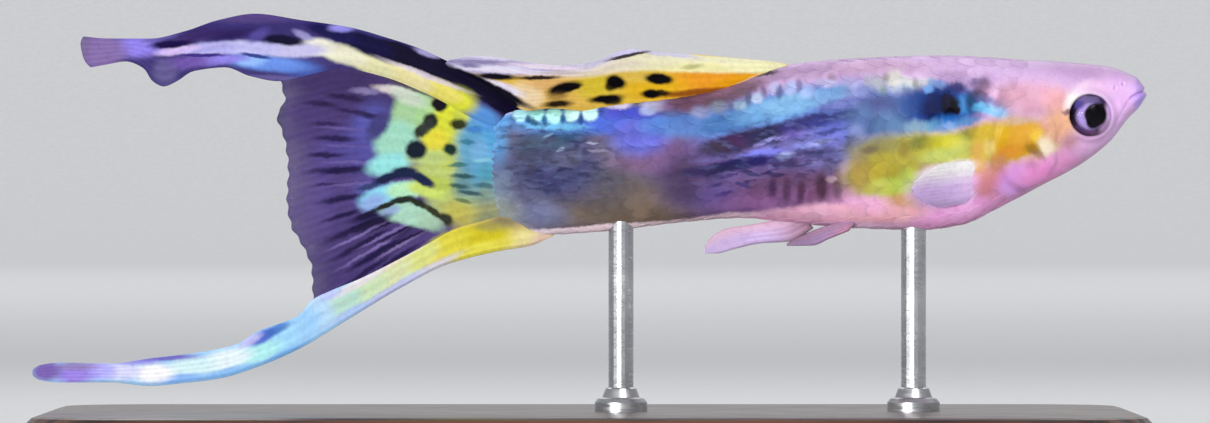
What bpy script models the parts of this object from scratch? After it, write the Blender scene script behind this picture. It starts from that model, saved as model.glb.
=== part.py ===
"""Life-size still model of a male fancy guppy with a double sword tail, held on a two-rod display stand.

Metres, +Z up. The snout points along +X and the fish's right side faces -Y. The origin is on the ground
under the middle of the bounding box. Shapes are laid out in the fish's own measure: "back" is the distance
behind the tip of the snout, and "up" is the height above the midline that runs level through the body.
"""

import math

import bmesh
import bpy
from mathutils import Matrix, Vector

mm = 0.001

# Driving dimensions of the fish
TOTAL_LENGTH = 44.5 * mm
STANDARD_LENGTH = 26.4 * mm
MIDLINE_HEIGHT = 13.4 * mm
FIN_THICKNESS = 0.5 * mm
GAP = 0.1 * mm

# Driving dimensions of the stand
BASE_LENGTH, BASE_WIDTH, BASE_HEIGHT = 44.0 * mm, 26.0 * mm, 3.0 * mm
BASE_CORNER_RADIUS = 4.0 * mm
BASE_EDGE_ROUND = 0.5 * mm
ROD_RADIUS = 0.5 * mm
ROD_BACK = {"stand_rod_front": 9.3 * mm, "stand_rod_rear": 21.0 * mm}
ROD_IN_BODY = 1.3 * mm
ROD_IN_BASE = 1.5 * mm

SNOUT_X = TOTAL_LENGTH / 2

# Outline of the body without its fins, in mm: (back, up)
BACK_LINE = (
    (0.0, 2.72), (0.3, 2.92), (0.65, 3.08), (1.45, 3.38), (2.65, 3.52), (5.0, 3.68), (8.2, 3.84),
    (11.0, 3.76), (14.0, 3.52), (15.0, 3.24), (16.6, 2.62), (17.9, 2.28), (20.2, 1.98), (23.4, 1.80),
    (26.4, 1.55),
)
BELLY_LINE = (
    (0.0, 1.90), (0.65, 1.38), (1.45, 0.38), (2.65, -0.56), (4.25, -1.42), (5.9, -2.30), (7.4, -2.98),
    (9.0, -3.18), (11.8, -3.10), (14.2, -2.88), (16.2, -2.70), (18.5, -2.86), (21.8, -3.24),
    (24.0, -3.36), (25.3, -3.20), (26.4, -2.85),
)
# Half-width of the body, and the height at which it is widest
HALF_WIDTH = (
    (0.0, 0.78), (0.65, 1.00), (1.45, 1.22), (2.65, 1.50), (4.25, 1.76), (6.2, 1.98), (8.5, 2.06),
    (11.0, 2.00), (14.0, 1.78), (17.9, 1.42), (21.0, 1.08), (24.0, 0.70), (26.4, 0.42),
)
WIDEST_LEVEL = (
    (0.0, 2.30), (1.0, 2.05), (2.2, 1.62), (4.2, 1.25), (6.5, 0.90), (9.5, 0.50), (13.0, 0.30),
    (17.0, -0.15), (21.0, -0.60), (26.4, -0.72),
)
# How square the section is above and below its widest level: 2 is an ellipse
UPPER_FULLNESS = ((0.0, 2.3), (2.5, 2.5), (6.0, 2.2), (14.0, 2.0), (18.0, 2.1), (26.4, 2.4))
LOWER_FULLNESS = ((0.0, 2.0), (3.0, 1.85), (7.0, 2.05), (12.0, 1.95), (18.0, 1.8), (26.4, 2.2))
SNOUT_ROUND = 0.45 * mm
TAIL_ROUND = 1.0 * mm

RINGS, RING_POINTS = 44, 28


def spline(points, unit=mm):
    """A smooth function through (at, value) stations, with no overshoot between them."""
    xs = [p[0] * unit for p in points]
    ys = [p[1] for p in points]
    slopes = [(b - a) / (xb - xa) for a, b, xa, xb in zip(ys, ys[1:], xs, xs[1:])]
    tangents = [slopes[0]]
    for before, after in zip(slopes, slopes[1:]):
        flat = before * after <= 0
        tangents.append(0.0 if flat else 2 * before * after / (before + after))
    tangents.append(slopes[-1])

    def value(x):
        x = min(max(x, xs[0]), xs[-1])
        i = max(k for k in range(len(xs) - 1) if xs[k] <= x)
        run = xs[i + 1] - xs[i]
        t = (x - xs[i]) / run
        return (
            (1 + 2 * t) * (1 - t) ** 2 * ys[i]
            + t * (1 - t) ** 2 * run * tangents[i]
            + t * t * (3 - 2 * t) * ys[i + 1]
            + t * t * (t - 1) * run * tangents[i + 1]
        )

    return value


def path(points):
    """A smooth curve through (back, up) points in mm, as a function of its share from 0 to 1."""
    along = [0.0]
    for a, b in zip(points, points[1:]):
        along.append(along[-1] + math.dist(a, b))
    backs = spline([(d, p[0] * mm) for d, p in zip(along, points)], 1 / along[-1])
    ups = spline([(d, p[1] * mm) for d, p in zip(along, points)], 1 / along[-1])
    return lambda share: (backs(share), ups(share))


def place(back, up, side=0.0):
    """A point in the part's frame from the fish's own measure. Side is positive to the fish's left."""
    return Vector((SNOUT_X - back, side, MIDLINE_HEIGHT + up))


back_line, belly_line = (spline(line) for line in (BACK_LINE, BELLY_LINE))
half_width, widest_level = (spline(line) for line in (HALF_WIDTH, WIDEST_LEVEL))
upper_fullness, lower_fullness = (spline(line) for line in (UPPER_FULLNESS, LOWER_FULLNESS))


def body_point(back, angle, grow=0.0):
    """A point of the body's surface. The angle runs from the fish's left side, over its back, to its right."""
    inside = min(max(back, 0.0), STANDARD_LENGTH)
    snout = max(0.0, 1 - (back + grow) / SNOUT_ROUND)
    tail = max(0.0, (back + TAIL_ROUND - STANDARD_LENGTH - grow) / TAIL_ROUND)
    height_share = math.sqrt(max(0.0, 1 - snout**2)) * max(0.0, 1 - min(tail, 1.0) ** 3) ** (1 / 3)
    width_share = math.sqrt(max(0.0, 1 - snout**2)) * math.sqrt(max(0.0, 1 - min(tail, 1.0) ** 2))
    level = widest_level(inside) * mm
    above = math.sin(angle) >= 0
    edge = (back_line if above else belly_line)(inside) * mm
    power = 2 / (upper_fullness if above else lower_fullness)(inside)
    cos, sin = math.cos(angle), math.sin(angle)
    side = math.copysign(abs(cos) ** power, cos) * (half_width(inside) * mm * width_share + grow)
    reach = (abs(edge - level) * height_share + grow) * abs(sin) ** power
    return place(back, level + math.copysign(reach, sin), side)


def body_mesh(name, grow=0.0):
    """The whole fleshy body as one closed loft, with its rings closest together at the snout."""
    bm = bmesh.new()
    first, last = -grow, STANDARD_LENGTH + grow
    snout_tip = bm.verts.new(place(first, widest_level(0) * mm))
    rings = []
    for ring in range(1, RINGS):
        share = ring / RINGS
        back = first + (last - first) * (share - 0.72 * math.sin(2 * math.pi * share) / (2 * math.pi))
        angles = (2 * math.pi * k / RING_POINTS for k in range(RING_POINTS))
        rings.append([bm.verts.new(body_point(back, a, grow)) for a in angles])
    tail_tip = bm.verts.new(place(last, widest_level(STANDARD_LENGTH) * mm))
    for k in range(RING_POINTS):
        after = (k + 1) % RING_POINTS
        bm.faces.new((snout_tip, rings[0][k], rings[0][after]))
        bm.faces.new((tail_tip, rings[-1][after], rings[-1][k]))
    for near, far in zip(rings, rings[1:]):
        for k in range(RING_POINTS):
            after = (k + 1) % RING_POINTS
            bm.faces.new((near[k], far[k], far[after], near[after]))
    return finished(bm, name)


def finished(bm, name):
    """The bmesh as a smooth-shaded mesh with its faces pointing out."""
    bmesh.ops.recalc_face_normals(bm, faces=bm.faces)
    mesh = bpy.data.meshes.new(name)
    bm.to_mesh(mesh)
    bm.free()
    mesh.shade_smooth()
    mesh.set_sharp_from_angle(angle=math.radians(40))
    return mesh


def add(name, mesh, material=None):
    node = bpy.data.objects.new(name, mesh)
    bpy.context.scene.collection.objects.link(node)
    if material:
        mesh.materials.clear()
        mesh.materials.append(material)
    return node


def helper(name, mesh):
    """A cutter: it shapes the nodes and isn't one."""
    cutter = add(name, mesh)
    cutter.hide_render = True
    cutter.display_type = "WIRE"
    return cutter


def boolean(node, operation, cutter):
    modifier = node.modifiers.new(cutter.name, "BOOLEAN")
    modifier.operation = operation
    modifier.object = cutter
    modifier.solver = "EXACT"
    return node


def prism(name, outline, sides):
    """A helper with a (back, up) outline in mm, reaching from one side value to the other."""
    bm = bmesh.new()
    near = [bm.verts.new(place(b * mm, u * mm, sides[0])) for b, u in outline]
    cap = bm.faces.new(near)
    grown = bmesh.ops.extrude_face_region(bm, geom=[cap])["geom"]
    far = [item for item in grown if isinstance(item, bmesh.types.BMVert)]
    bmesh.ops.translate(bm, verts=far, vec=(0, sides[1] - sides[0], 0))
    return helper(name, finished(bm, name))


def material(name, colour, roughness, metallic=0.0):
    made = bpy.data.materials.new(name)
    made.use_nodes = True
    shader = made.node_tree.nodes["Principled BSDF"]
    shader.inputs["Base Color"].default_value = (*colour, 1.0)
    shader.inputs["Roughness"].default_value = roughness
    shader.inputs["Metallic"].default_value = metallic
    return made


# Where the body is parted, as (back, up) outlines in mm. They reach well past the body.
ABOVE, BELOW = 6.0, -6.0
GILL_SLIT = ((5.20, ABOVE), (5.45, 1.9), (6.05, 1.0), (6.20, 0.1), (5.85, -0.9), (5.15, -1.5), (4.70, BELOW))
STALK_CUT = 16.2
MOUTH_CORNER = (0.62, 2.10)
JAW_OUTLINE = ((-1.0, 2.62), (0.0, 2.42), MOUTH_CORNER, (1.35, 1.10), (1.75, -1.5), (-1.0, -1.5))
GILL_COVER = ((3.55, 0.70), (4.2, 1.45), (5.2, 1.75), (5.82, 1.05), (5.98, 0.15), (5.62, -0.72), (5.0, -1.05),
              (4.1, -0.62), (3.6, 0.05))
GILL_COVER_DEPTH = 1.15 * mm
WELL_OUT = 6.0 * mm


def shifted(outline, distance):
    """The outline with every point moved back by a distance in mm."""
    return [(back + distance, up) for back, up in outline]


def spread(outline, distance):
    """A convex outline grown outwards from its centre by about a distance in mm."""
    centre = [sum(p[k] for p in outline) / len(outline) for k in (0, 1)]
    grown = []
    for point in outline:
        away = math.dist(point, centre)
        grown.append(tuple(c + (p - c) * (away + distance) / away for p, c in zip(point, centre)))
    return grown


EYE_CENTRE = (2.20, 1.45)
EYE_RADIUS, EYE_HALF_DEPTH = 0.88 * mm, 0.56 * mm
EYE_SIDE = 1.20 * mm
EYE_TURN = math.radians(11)


def eye_mesh(name, side, grow=0.0):
    """A flattened ball, turned a little forwards, on the side given by a sign."""
    bm = bmesh.new()
    bmesh.ops.create_uvsphere(bm, u_segments=22, v_segments=12, radius=1.0)
    bmesh.ops.rotate(bm, verts=bm.verts, cent=(0, 0, 0), matrix=Matrix.Rotation(math.pi / 2, 3, "X"))
    size = (EYE_RADIUS + grow, EYE_HALF_DEPTH + grow, EYE_RADIUS + grow)
    bmesh.ops.scale(bm, verts=bm.verts, vec=size)
    bmesh.ops.rotate(bm, verts=bm.verts, cent=(0, 0, 0), matrix=Matrix.Rotation(-side * EYE_TURN, 3, "Z"))
    bmesh.ops.translate(bm, verts=bm.verts, vec=place(EYE_CENTRE[0] * mm, EYE_CENTRE[1] * mm, side * EYE_SIDE))
    return finished(bm, name)


def rod_foot(back, radius, low, high, name):
    """An upright round rod under the body at a distance behind the snout."""
    bm = bmesh.new()
    bmesh.ops.create_cone(
        bm, cap_ends=True, segments=20, radius1=radius, radius2=radius, depth=high - low
    )
    bmesh.ops.translate(bm, verts=bm.verts, vec=(SNOUT_X - back, 0, (low + high) / 2))
    return finished(bm, name)


def belly_height(back):
    return MIDLINE_HEIGHT + belly_line(back) * mm


def make_body(skin):
    """The flesh, parted at the gill slits, the mouth and the tail stalk, with sockets for eyes and rods."""
    whole = body_mesh("body")
    front = [*GILL_SLIT, (-2.0, BELOW), (-2.0, ABOVE)]
    behind_gills = [*shifted(GILL_SLIT, GAP / mm), (STALK_CUT, BELOW), (STALK_CUT, ABOVE)]
    stalk = [(STALK_CUT + GAP / mm, BELOW), (STALK_CUT + GAP / mm, ABOVE), (30.0, ABOVE), (30.0, BELOW)]
    jaw = prism("cut_jaw", JAW_OUTLINE, (-WELL_OUT, WELL_OUT))
    jaw_room = prism("cut_jaw_room", spread(JAW_OUTLINE, 1.6 * GAP / mm), (-WELL_OUT, WELL_OUT))

    boolean(add("lower_jaw", whole.copy(), skin), "INTERSECT", jaw)
    head = boolean(add("head", whole.copy(), skin), "INTERSECT", prism("cut_head", front, (-WELL_OUT, WELL_OUT)))
    boolean(head, "DIFFERENCE", jaw_room)
    trunk = boolean(
        add("trunk", whole.copy(), skin), "INTERSECT", prism("cut_trunk", behind_gills, (-WELL_OUT, WELL_OUT))
    )
    tail_stalk = boolean(
        add("tail_stalk", whole.copy(), skin), "INTERSECT", prism("cut_stalk", stalk, (-WELL_OUT, WELL_OUT))
    )
    for side, word in ((-1, "right"), (1, "left")):
        socket = helper(f"cut_socket_{word}", eye_mesh(f"socket_{word}", side, GAP))
        boolean(head, "DIFFERENCE", socket)
        cover_sides = (side * GILL_COVER_DEPTH, side * WELL_OUT)
        room_sides = (side * (GILL_COVER_DEPTH - GAP), side * WELL_OUT)
        cover = prism(f"cut_cover_{word}", GILL_COVER, cover_sides)
        room = prism(f"cut_cover_room_{word}", spread(GILL_COVER, GAP / mm), room_sides)
        boolean(add(f"gill_cover_{word}", whole.copy(), skin), "INTERSECT", cover)
        boolean(head, "DIFFERENCE", room)
    for rod, node in (("stand_rod_front", trunk), ("stand_rod_rear", tail_stalk)):
        back = ROD_BACK[rod]
        top = belly_height(back) + ROD_IN_BODY + GAP
        socket = rod_foot(back, ROD_RADIUS + GAP, belly_height(back) - 2 * mm, top, f"socket_{rod}")
        boolean(node, "DIFFERENCE", helper(f"cut_socket_{rod}", socket))


# Fins: each is a patch between four edges of (back, up) points in mm. Both long edges run from root to tip.
SWORD_TOP_OUTER = (
    (24.9, 1.75), (25.6, 2.35), (26.65, 2.95), (27.85, 3.55), (29.05, 4.10), (30.25, 4.50), (31.85, 4.95),
    (33.85, 5.25), (35.65, 5.50), (37.1, 5.25), (38.45, 4.80), (39.85, 4.50), (41.45, 4.50), (42.70, 4.60),
)
SWORD_TOP_INNER = (
    (25.6, 0.70), (26.90, 1.25), (28.65, 2.20), (30.65, 3.00), (32.25, 3.30), (33.45, 3.05), (34.75, 2.80),
    (35.85, 3.00), (36.85, 3.35), (38.1, 3.20), (38.8, 2.78), (39.3, 2.58), (39.75, 2.80), (40.1, 3.30),
    (40.8, 3.58), (41.6, 3.45), (42.40, 3.30),
)
WEB_TOP = ((25.6, 0.70), (26.90, 1.25), (28.65, 2.20), (30.65, 3.00), (32.25, 3.30), (33.45, 3.05), (34.75, 2.80))
WEB_MARGIN = (
    (34.75, 2.80), (34.50, 2.05), (34.80, 1.40), (34.50, 0.45), (34.35, -0.75), (34.40, -1.95),
    (34.25, -2.95), (33.80, -3.75), (33.40, -4.75), (33.35, -5.95),
)
WEB_ROOT = ((25.6, 0.70), (25.5, -1.1), (25.7, -2.55))
WEB_BOTTOM = (
    (25.7, -2.55), (26.65, -2.80), (27.65, -3.10), (28.65, -3.65), (29.85, -4.30), (31.45, -5.10),
    (32.65, -5.60), (33.35, -5.95),
)
SWORD_LOW_INNER = (
    (23.4, -2.70), (24.6, -2.55), (25.7, -2.55), (26.65, -2.80), (27.65, -3.10), (28.65, -3.65),
    (29.85, -4.30), (31.45, -5.10), (32.65, -5.60), (33.35, -5.95), (33.95, -6.60), (35.50, -7.20),
    (36.45, -7.75), (37.85, -8.05), (39.85, -8.30), (41.45, -8.50), (43.45, -8.45), (44.50, -8.60),
)
SWORD_LOW_OUTER = (
    (23.7, -3.40), (24.65, -3.80), (25.85, -4.00), (27.85, -4.50), (29.85, -5.50), (31.85, -6.70),
    (33.85, -7.90), (35.45, -8.60), (37.05, -9.10), (38.65, -9.30), (39.85, -9.40), (41.45, -9.25),
    (43.45, -9.25), (44.50, -9.10),
)
DORSAL_TOP = (
    (14.30, 3.45), (14.9, 3.58), (16.25, 3.70), (17.85, 3.85), (19.45, 3.95), (20.55, 4.10), (21.35, 3.90),
    (22.1, 3.55), (23.45, 3.42), (24.65, 3.52), (25.85, 3.72), (26.65, 3.80), (28.00, 3.60),
)
DORSAL_LOW = (
    (14.30, 2.60), (15.65, 2.30), (16.85, 1.90), (18.25, 1.75), (19.85, 1.60), (21.85, 1.55), (23.85, 1.70),
    (24.7, 2.05), (25.85, 2.55), (26.70, 2.95), (28.00, 3.40),
)
DORSAL_LEAN, DORSAL_LEAN_FROM, DORSAL_LEAN_RUN = 0.67 * mm, 19.0 * mm, 6.0 * mm
ANAL_TOP = ((13.7, -2.4), (15.05, -2.80), (16.05, -2.98), (16.80, -3.10), (17.45, -3.50), (17.65, -3.80))
ANAL_LOW = ((13.3, -3.10), (14.25, -3.62), (15.45, -3.70), (16.45, -3.92), (17.2, -4.10), (17.65, -4.10))
PELVIC_TOP = ((11.5, -2.7), (12.8, -3.00), (14.0, -3.50), (14.35, -3.70))
PELVIC_LOW = ((11.9, -3.20), (12.7, -3.52), (13.35, -3.78), (14.35, -3.80))
PELVIC_SIDE = 0.62 * mm
PECTORAL_ROOT = (6.76, -1.20)
PECTORAL_LENGTH, PECTORAL_START = 2.9 * mm, -0.5 * mm
PECTORAL_DEPTH = ((-0.5, 1.20), (0.0, 1.25), (0.5, 1.70), (1.4, 1.72), (2.9, 1.70))
PECTORAL_ROUNDING = 0.40
PECTORAL_DROOP = math.radians(7)
PECTORAL_OUTWARD = math.radians(20)
PECTORAL_INSET = 0.12 * mm


def tail_sway(back, up):
    """How far the tail leans to the fish's left: a slow bend of the swords with a light fold in the web."""
    past = max(0.0, back - STANDARD_LENGTH) / (TOTAL_LENGTH - STANDARD_LENGTH)
    fold = math.sin(up / (1.5 * mm)) * 0.12 * mm
    return past**1.5 * (0.9 * mm * math.sin(1.3 * math.pi * past)) + past * fold


def dorsal_sway(back, up):
    """The folded dorsal fin leans to the fish's right at its trailing end, which lies beside the tail."""
    share = min(1.0, max(0.0, (back - DORSAL_LEAN_FROM) / DORSAL_LEAN_RUN))
    return -DORSAL_LEAN * share * share * (3 - 2 * share)


def upright(back, up):
    return 0.0


def beside(side):
    return lambda back, up: side


def sheet_mesh(name, top, low, sway, along, across, thickness=FIN_THICKNESS, gap_top=0.0, gap_low=0.0):
    """A fin as a sheet between its top and low edges, given its thickness on both sides of the sway."""
    bm = bmesh.new()
    upper, lower = path(top), path(low)
    rows = []
    for i in range(along + 1):
        (b1, u1), (b2, u2) = upper(i / along), lower(i / along)
        u1, u2 = u1 - gap_top, u2 + gap_low
        shares = (j / across for j in range(across + 1))
        spots = [(b1 + (b2 - b1) * s, u1 + (u2 - u1) * s) for s in shares]
        rows.append([bm.verts.new(place(b, u, sway(b, u) - thickness / 2)) for b, u in spots])
    for near, far in zip(rows, rows[1:]):
        for j in range(across):
            bm.faces.new((near[j], near[j + 1], far[j + 1], far[j]))
    grown = bmesh.ops.extrude_face_region(bm, geom=list(bm.faces))["geom"]
    moved = [item for item in grown if isinstance(item, bmesh.types.BMVert)]
    bmesh.ops.translate(bm, verts=moved, vec=(0, thickness, 0))
    return finished(bm, name)


def fan_mesh(name, top, low, root, margin, sway, along, across):
    """A fin as a sheet between four edges: top and low run from root to margin, and root and margin downwards."""
    upper, lower, inner, outer = path(top), path(low), path(root), path(margin)
    bm = bmesh.new()
    rows = []
    for i in range(along + 1):
        v = i / along
        row = []
        for j in range(across + 1):
            u = j / across
            spot = []
            for k in (0, 1):
                ruled_v = (1 - u) * upper(v)[k] + u * lower(v)[k]
                ruled_u = (1 - v) * inner(u)[k] + v * outer(u)[k]
                corners = (1 - v) * ((1 - u) * inner(0)[k] + u * inner(1)[k])
                corners += v * ((1 - u) * outer(0)[k] + u * outer(1)[k])
                spot.append(ruled_v + ruled_u - corners)
            row.append(bm.verts.new(place(spot[0], spot[1], sway(*spot) - FIN_THICKNESS / 2)))
        rows.append(row)
    for near, far in zip(rows, rows[1:]):
        for j in range(across):
            bm.faces.new((near[j], near[j + 1], far[j + 1], far[j]))
    grown = bmesh.ops.extrude_face_region(bm, geom=list(bm.faces))["geom"]
    moved = [item for item in grown if isinstance(item, bmesh.types.BMVert)]
    bmesh.ops.translate(bm, verts=moved, vec=(0, FIN_THICKNESS, 0))
    return finished(bm, name)


def flank(back, up):
    """Half the body's width at a height below its widest level, in metres from (back, up) in mm."""
    level, power = widest_level(back * mm), lower_fullness(back * mm)
    share = min(0.98, max(0.0, (level - up) / (level - belly_line(back * mm))))
    return half_width(back * mm) * mm * (1 - share**power) ** (1 / power)


def pectoral_mesh(name, side):
    """A round paddle held out from the flank behind the gill cover, on the side given by a sign."""
    along, across = 8, 8
    depth = spline(PECTORAL_DEPTH)
    root_back, root_up = PECTORAL_ROOT
    bm = bmesh.new()
    rows = []
    for i in range(along + 1):
        row = []
        for j in range(across + 1):
            share = 2 * j / across - 1
            length = PECTORAL_LENGTH * (1 - PECTORAL_ROUNDING * share * share)
            reach = PECTORAL_START + (length - PECTORAL_START) * i / along
            down = depth(reach) / 2 * share
            out = side * (flank(root_back, root_up - down) - PECTORAL_INSET + reach * math.sin(PECTORAL_OUTWARD))
            level = reach * math.cos(PECTORAL_OUTWARD) / mm
            spot = place((root_back + level) * mm, (root_up - down - level * math.sin(PECTORAL_DROOP)) * mm, out)
            row.append(bm.verts.new(spot))
        rows.append(row)
    for near, far in zip(rows, rows[1:]):
        for j in range(across):
            bm.faces.new((near[j], near[j + 1], far[j + 1], far[j]))
    grown = bmesh.ops.extrude_face_region(bm, geom=list(bm.faces))["geom"]
    moved = [item for item in grown if isinstance(item, bmesh.types.BMVert)]
    bmesh.ops.translate(bm, verts=moved, vec=(0, FIN_THICKNESS, 0))
    bmesh.ops.translate(bm, verts=bm.verts, vec=(0, -FIN_THICKNESS / 2, 0))
    return finished(bm, name)


def make_fins(webbing, bright):
    """Every fin, cut back from the body by the gap."""
    clear_of_body = helper("cut_body_room", body_mesh("body_room", GAP))
    part = GAP / 2
    sheets = [
        ("tail_sword_upper", sheet_mesh("upper", SWORD_TOP_OUTER, SWORD_TOP_INNER, tail_sway, 34, 4, gap_low=part), bright),
        ("tail_sword_lower", sheet_mesh("lower", SWORD_LOW_INNER, SWORD_LOW_OUTER, tail_sway, 38, 3, gap_top=part), bright),
        ("tail_web", fan_mesh("web", lowered(WEB_TOP, -part), lowered(WEB_BOTTOM, part), WEB_ROOT, WEB_MARGIN,
                              tail_sway, 12, 14), webbing),
        ("dorsal_fin", sheet_mesh("dorsal", DORSAL_TOP, DORSAL_LOW, dorsal_sway, 30, 4), bright),
        ("anal_fin", sheet_mesh("anal", ANAL_TOP, ANAL_LOW, upright, 10, 3), webbing),
    ]
    for side, word in ((-1, "right"), (1, "left")):
        pelvic = sheet_mesh("pelvic", PELVIC_TOP, PELVIC_LOW, beside(side * PELVIC_SIDE), 7, 2)
        sheets.append((f"pelvic_fin_{word}", pelvic, webbing))
        sheets.append((f"pectoral_fin_{word}", pectoral_mesh("pectoral", side), webbing))
    for name, mesh, finish in sheets:
        boolean(add(name, mesh, finish), "DIFFERENCE", clear_of_body)


def lowered(points, distance):
    return [(back, up + distance / mm) for back, up in points]


def make_eyes(finish):
    for side, word in ((-1, "right"), (1, "left")):
        add(f"eye_{word}", eye_mesh(f"eye_{word}", side), finish)


def make_stand(wood, steel):
    """A flat base with rounded corners, and two upright rods that end inside the body and the base."""
    bm = bmesh.new()
    bmesh.ops.create_cube(bm, size=1.0)
    bmesh.ops.scale(bm, verts=bm.verts, vec=(BASE_LENGTH, BASE_WIDTH, BASE_HEIGHT))
    bmesh.ops.translate(bm, verts=bm.verts, vec=(0, 0, BASE_HEIGHT / 2))
    upright_edges = [e for e in bm.edges if abs(e.verts[0].co.z - e.verts[1].co.z) > BASE_HEIGHT / 2]
    bmesh.ops.bevel(bm, geom=upright_edges, offset=BASE_CORNER_RADIUS, segments=8, profile=0.5,
                    affect="EDGES", material=-1)
    top_edges = [e for e in bm.edges if all(v.co.z > BASE_HEIGHT * 0.99 for v in e.verts)]
    bmesh.ops.bevel(bm, geom=top_edges, offset=BASE_EDGE_ROUND, segments=3, profile=0.5,
                    affect="EDGES", material=-1)
    base = add("stand_base", finished(bm, "stand_base"), wood)
    for name, back in ROD_BACK.items():
        foot = BASE_HEIGHT - ROD_IN_BASE
        hole = rod_foot(back, ROD_RADIUS + GAP, foot - GAP, BASE_HEIGHT + mm, f"hole_{name}")
        boolean(base, "DIFFERENCE", helper(f"cut_hole_{name}", hole))
        add(name, rod_foot(back, ROD_RADIUS, foot, belly_height(back) + ROD_IN_BODY, name), steel)


def main():
    for old in list(bpy.data.objects):
        bpy.data.objects.remove(old)
    skin = material("skin", (0.62, 0.50, 0.66), 0.35)
    webbing = material("fin_membrane", (0.30, 0.22, 0.42), 0.4)
    bright = material("fin_bright", (0.85, 0.75, 0.30), 0.4)
    eye = material("eye", (0.05, 0.03, 0.08), 0.1)
    wood = material("base_wood", (0.05, 0.035, 0.03), 0.4)
    steel = material("rod_steel", (0.6, 0.6, 0.62), 0.3, 1.0)
    make_body(skin)
    make_eyes(eye)
    make_fins(webbing, bright)
    make_stand(wood, steel)


main()
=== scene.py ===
"""Looks of a life-size fancy guppy on its display stand: skin, scales, eyes, rayed fins, stand and stage.

Shapes are worked out in the fish's own measure, in mm: "back" is the distance behind the tip of the snout,
"up" is the height above the midline that runs level through the body, and "side" is positive to the fish's
left.
"""

import math
from bisect import bisect_right
from random import Random

import bmesh
import bpy
from bpy.props import FloatProperty, FloatVectorProperty, IntProperty, PointerProperty
from mathutils import Matrix, Vector


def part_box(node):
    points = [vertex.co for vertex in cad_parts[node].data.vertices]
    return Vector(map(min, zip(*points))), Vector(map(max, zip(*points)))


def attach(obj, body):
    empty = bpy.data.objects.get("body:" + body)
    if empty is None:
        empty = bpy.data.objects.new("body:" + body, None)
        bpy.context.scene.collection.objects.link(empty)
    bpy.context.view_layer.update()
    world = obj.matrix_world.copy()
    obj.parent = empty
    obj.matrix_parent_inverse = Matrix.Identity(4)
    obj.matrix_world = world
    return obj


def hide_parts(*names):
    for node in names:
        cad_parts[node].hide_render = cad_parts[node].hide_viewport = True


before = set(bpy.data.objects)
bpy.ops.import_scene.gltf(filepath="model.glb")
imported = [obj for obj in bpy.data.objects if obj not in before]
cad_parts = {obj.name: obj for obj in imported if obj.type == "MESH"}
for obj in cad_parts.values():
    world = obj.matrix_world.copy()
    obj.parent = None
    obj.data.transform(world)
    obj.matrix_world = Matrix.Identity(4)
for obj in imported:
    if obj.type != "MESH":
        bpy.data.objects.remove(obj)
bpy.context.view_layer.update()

bl_info = {
    "name": "Fancy Guppy Display Model",
    "version": (1, 0, 0),
    "blender": (4, 5, 0),
    "location": "View3D > Sidebar > Guppy",
    "description": "Builds the skin, scales, eyes, fins, stand and stage of a fancy guppy display model",
    "category": "Object",
}

MM = 0.001
SNOUT_X, MIDLINE = 22.25, 13.4
BODY_LENGTH, WHOLE_LENGTH = 26.4, 44.5

# Outline of the body without its fins: (back, up)
BACK_LINE = (
    (0.0, 2.72), (0.3, 2.92), (0.65, 3.08), (1.45, 3.38), (2.65, 3.52), (5.0, 3.68), (8.2, 3.84),
    (11.0, 3.76), (14.0, 3.52), (15.0, 3.24), (16.6, 2.62), (17.9, 2.28), (20.2, 1.98), (23.4, 1.80),
    (26.4, 1.55),
)
BELLY_LINE = (
    (0.0, 1.90), (0.65, 1.38), (1.45, 0.38), (2.65, -0.56), (4.25, -1.42), (5.9, -2.30), (7.4, -2.98),
    (9.0, -3.18), (11.8, -3.10), (14.2, -2.88), (16.2, -2.70), (18.5, -2.86), (21.8, -3.24),
    (24.0, -3.36), (25.3, -3.20), (26.4, -2.85),
)
# Half-width of the body, and the height at which it is widest
HALF_WIDTH = (
    (0.0, 0.78), (0.65, 1.00), (1.45, 1.22), (2.65, 1.50), (4.25, 1.76), (6.2, 1.98), (8.5, 2.06),
    (11.0, 2.00), (14.0, 1.78), (17.9, 1.42), (21.0, 1.08), (24.0, 0.70), (26.4, 0.42),
)
WIDEST_LEVEL = (
    (0.0, 2.30), (1.0, 2.05), (2.2, 1.62), (4.2, 1.25), (6.5, 0.90), (9.5, 0.50), (13.0, 0.30),
    (17.0, -0.15), (21.0, -0.60), (26.4, -0.72),
)
# How square the section is above and below its widest level: 2 is an ellipse
UPPER_FULLNESS = ((0.0, 2.3), (2.5, 2.5), (6.0, 2.2), (14.0, 2.0), (18.0, 2.1), (26.4, 2.4))
LOWER_FULLNESS = ((0.0, 2.0), (3.0, 1.85), (7.0, 2.05), (12.0, 1.95), (18.0, 1.8), (26.4, 2.2))
SNOUT_ROUND, TAIL_ROUND = 0.45, 1.0

# Lines of the head: (back, up)
MOUTH_CLEFT = ((-0.3, 2.52), (0.0, 2.43), (0.35, 2.29), (0.66, 2.10))
JAW_FOLD = ((0.66, 2.10), (0.92, 1.72), (1.22, 1.15), (1.42, 0.62))
CHEEK_FOLD = ((3.05, 1.35), (3.55, 0.75), (3.75, 0.05), (3.50, -0.55), (2.95, -0.80))
GILL_COVER = (
    (3.95, 1.85), (4.75, 1.98), (5.50, 1.62), (5.98, 0.95), (6.16, 0.15), (6.02, -0.60), (5.55, -1.25),
    (4.85, -1.55), (4.10, -1.25), (3.62, -0.45), (3.62, 0.70),
)
GILL_SLIT = ((4.9, 2.15), (5.55, 1.80), (6.05, 1.05), (6.24, 0.15), (6.08, -0.68), (5.6, -1.36), (4.8, -1.78),
             (3.9, -1.62))
NOSTRILS = ((0.98, 2.66), (1.30, 2.50))
EYE_CENTRE, EYE_SIDE, EYE_TURN = (2.32, 1.43), 1.20, 11.0
EYE_RADIUS, EYE_HALF_DEPTH = 0.84, 0.54
EYE_OPENING = 0.82
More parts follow.
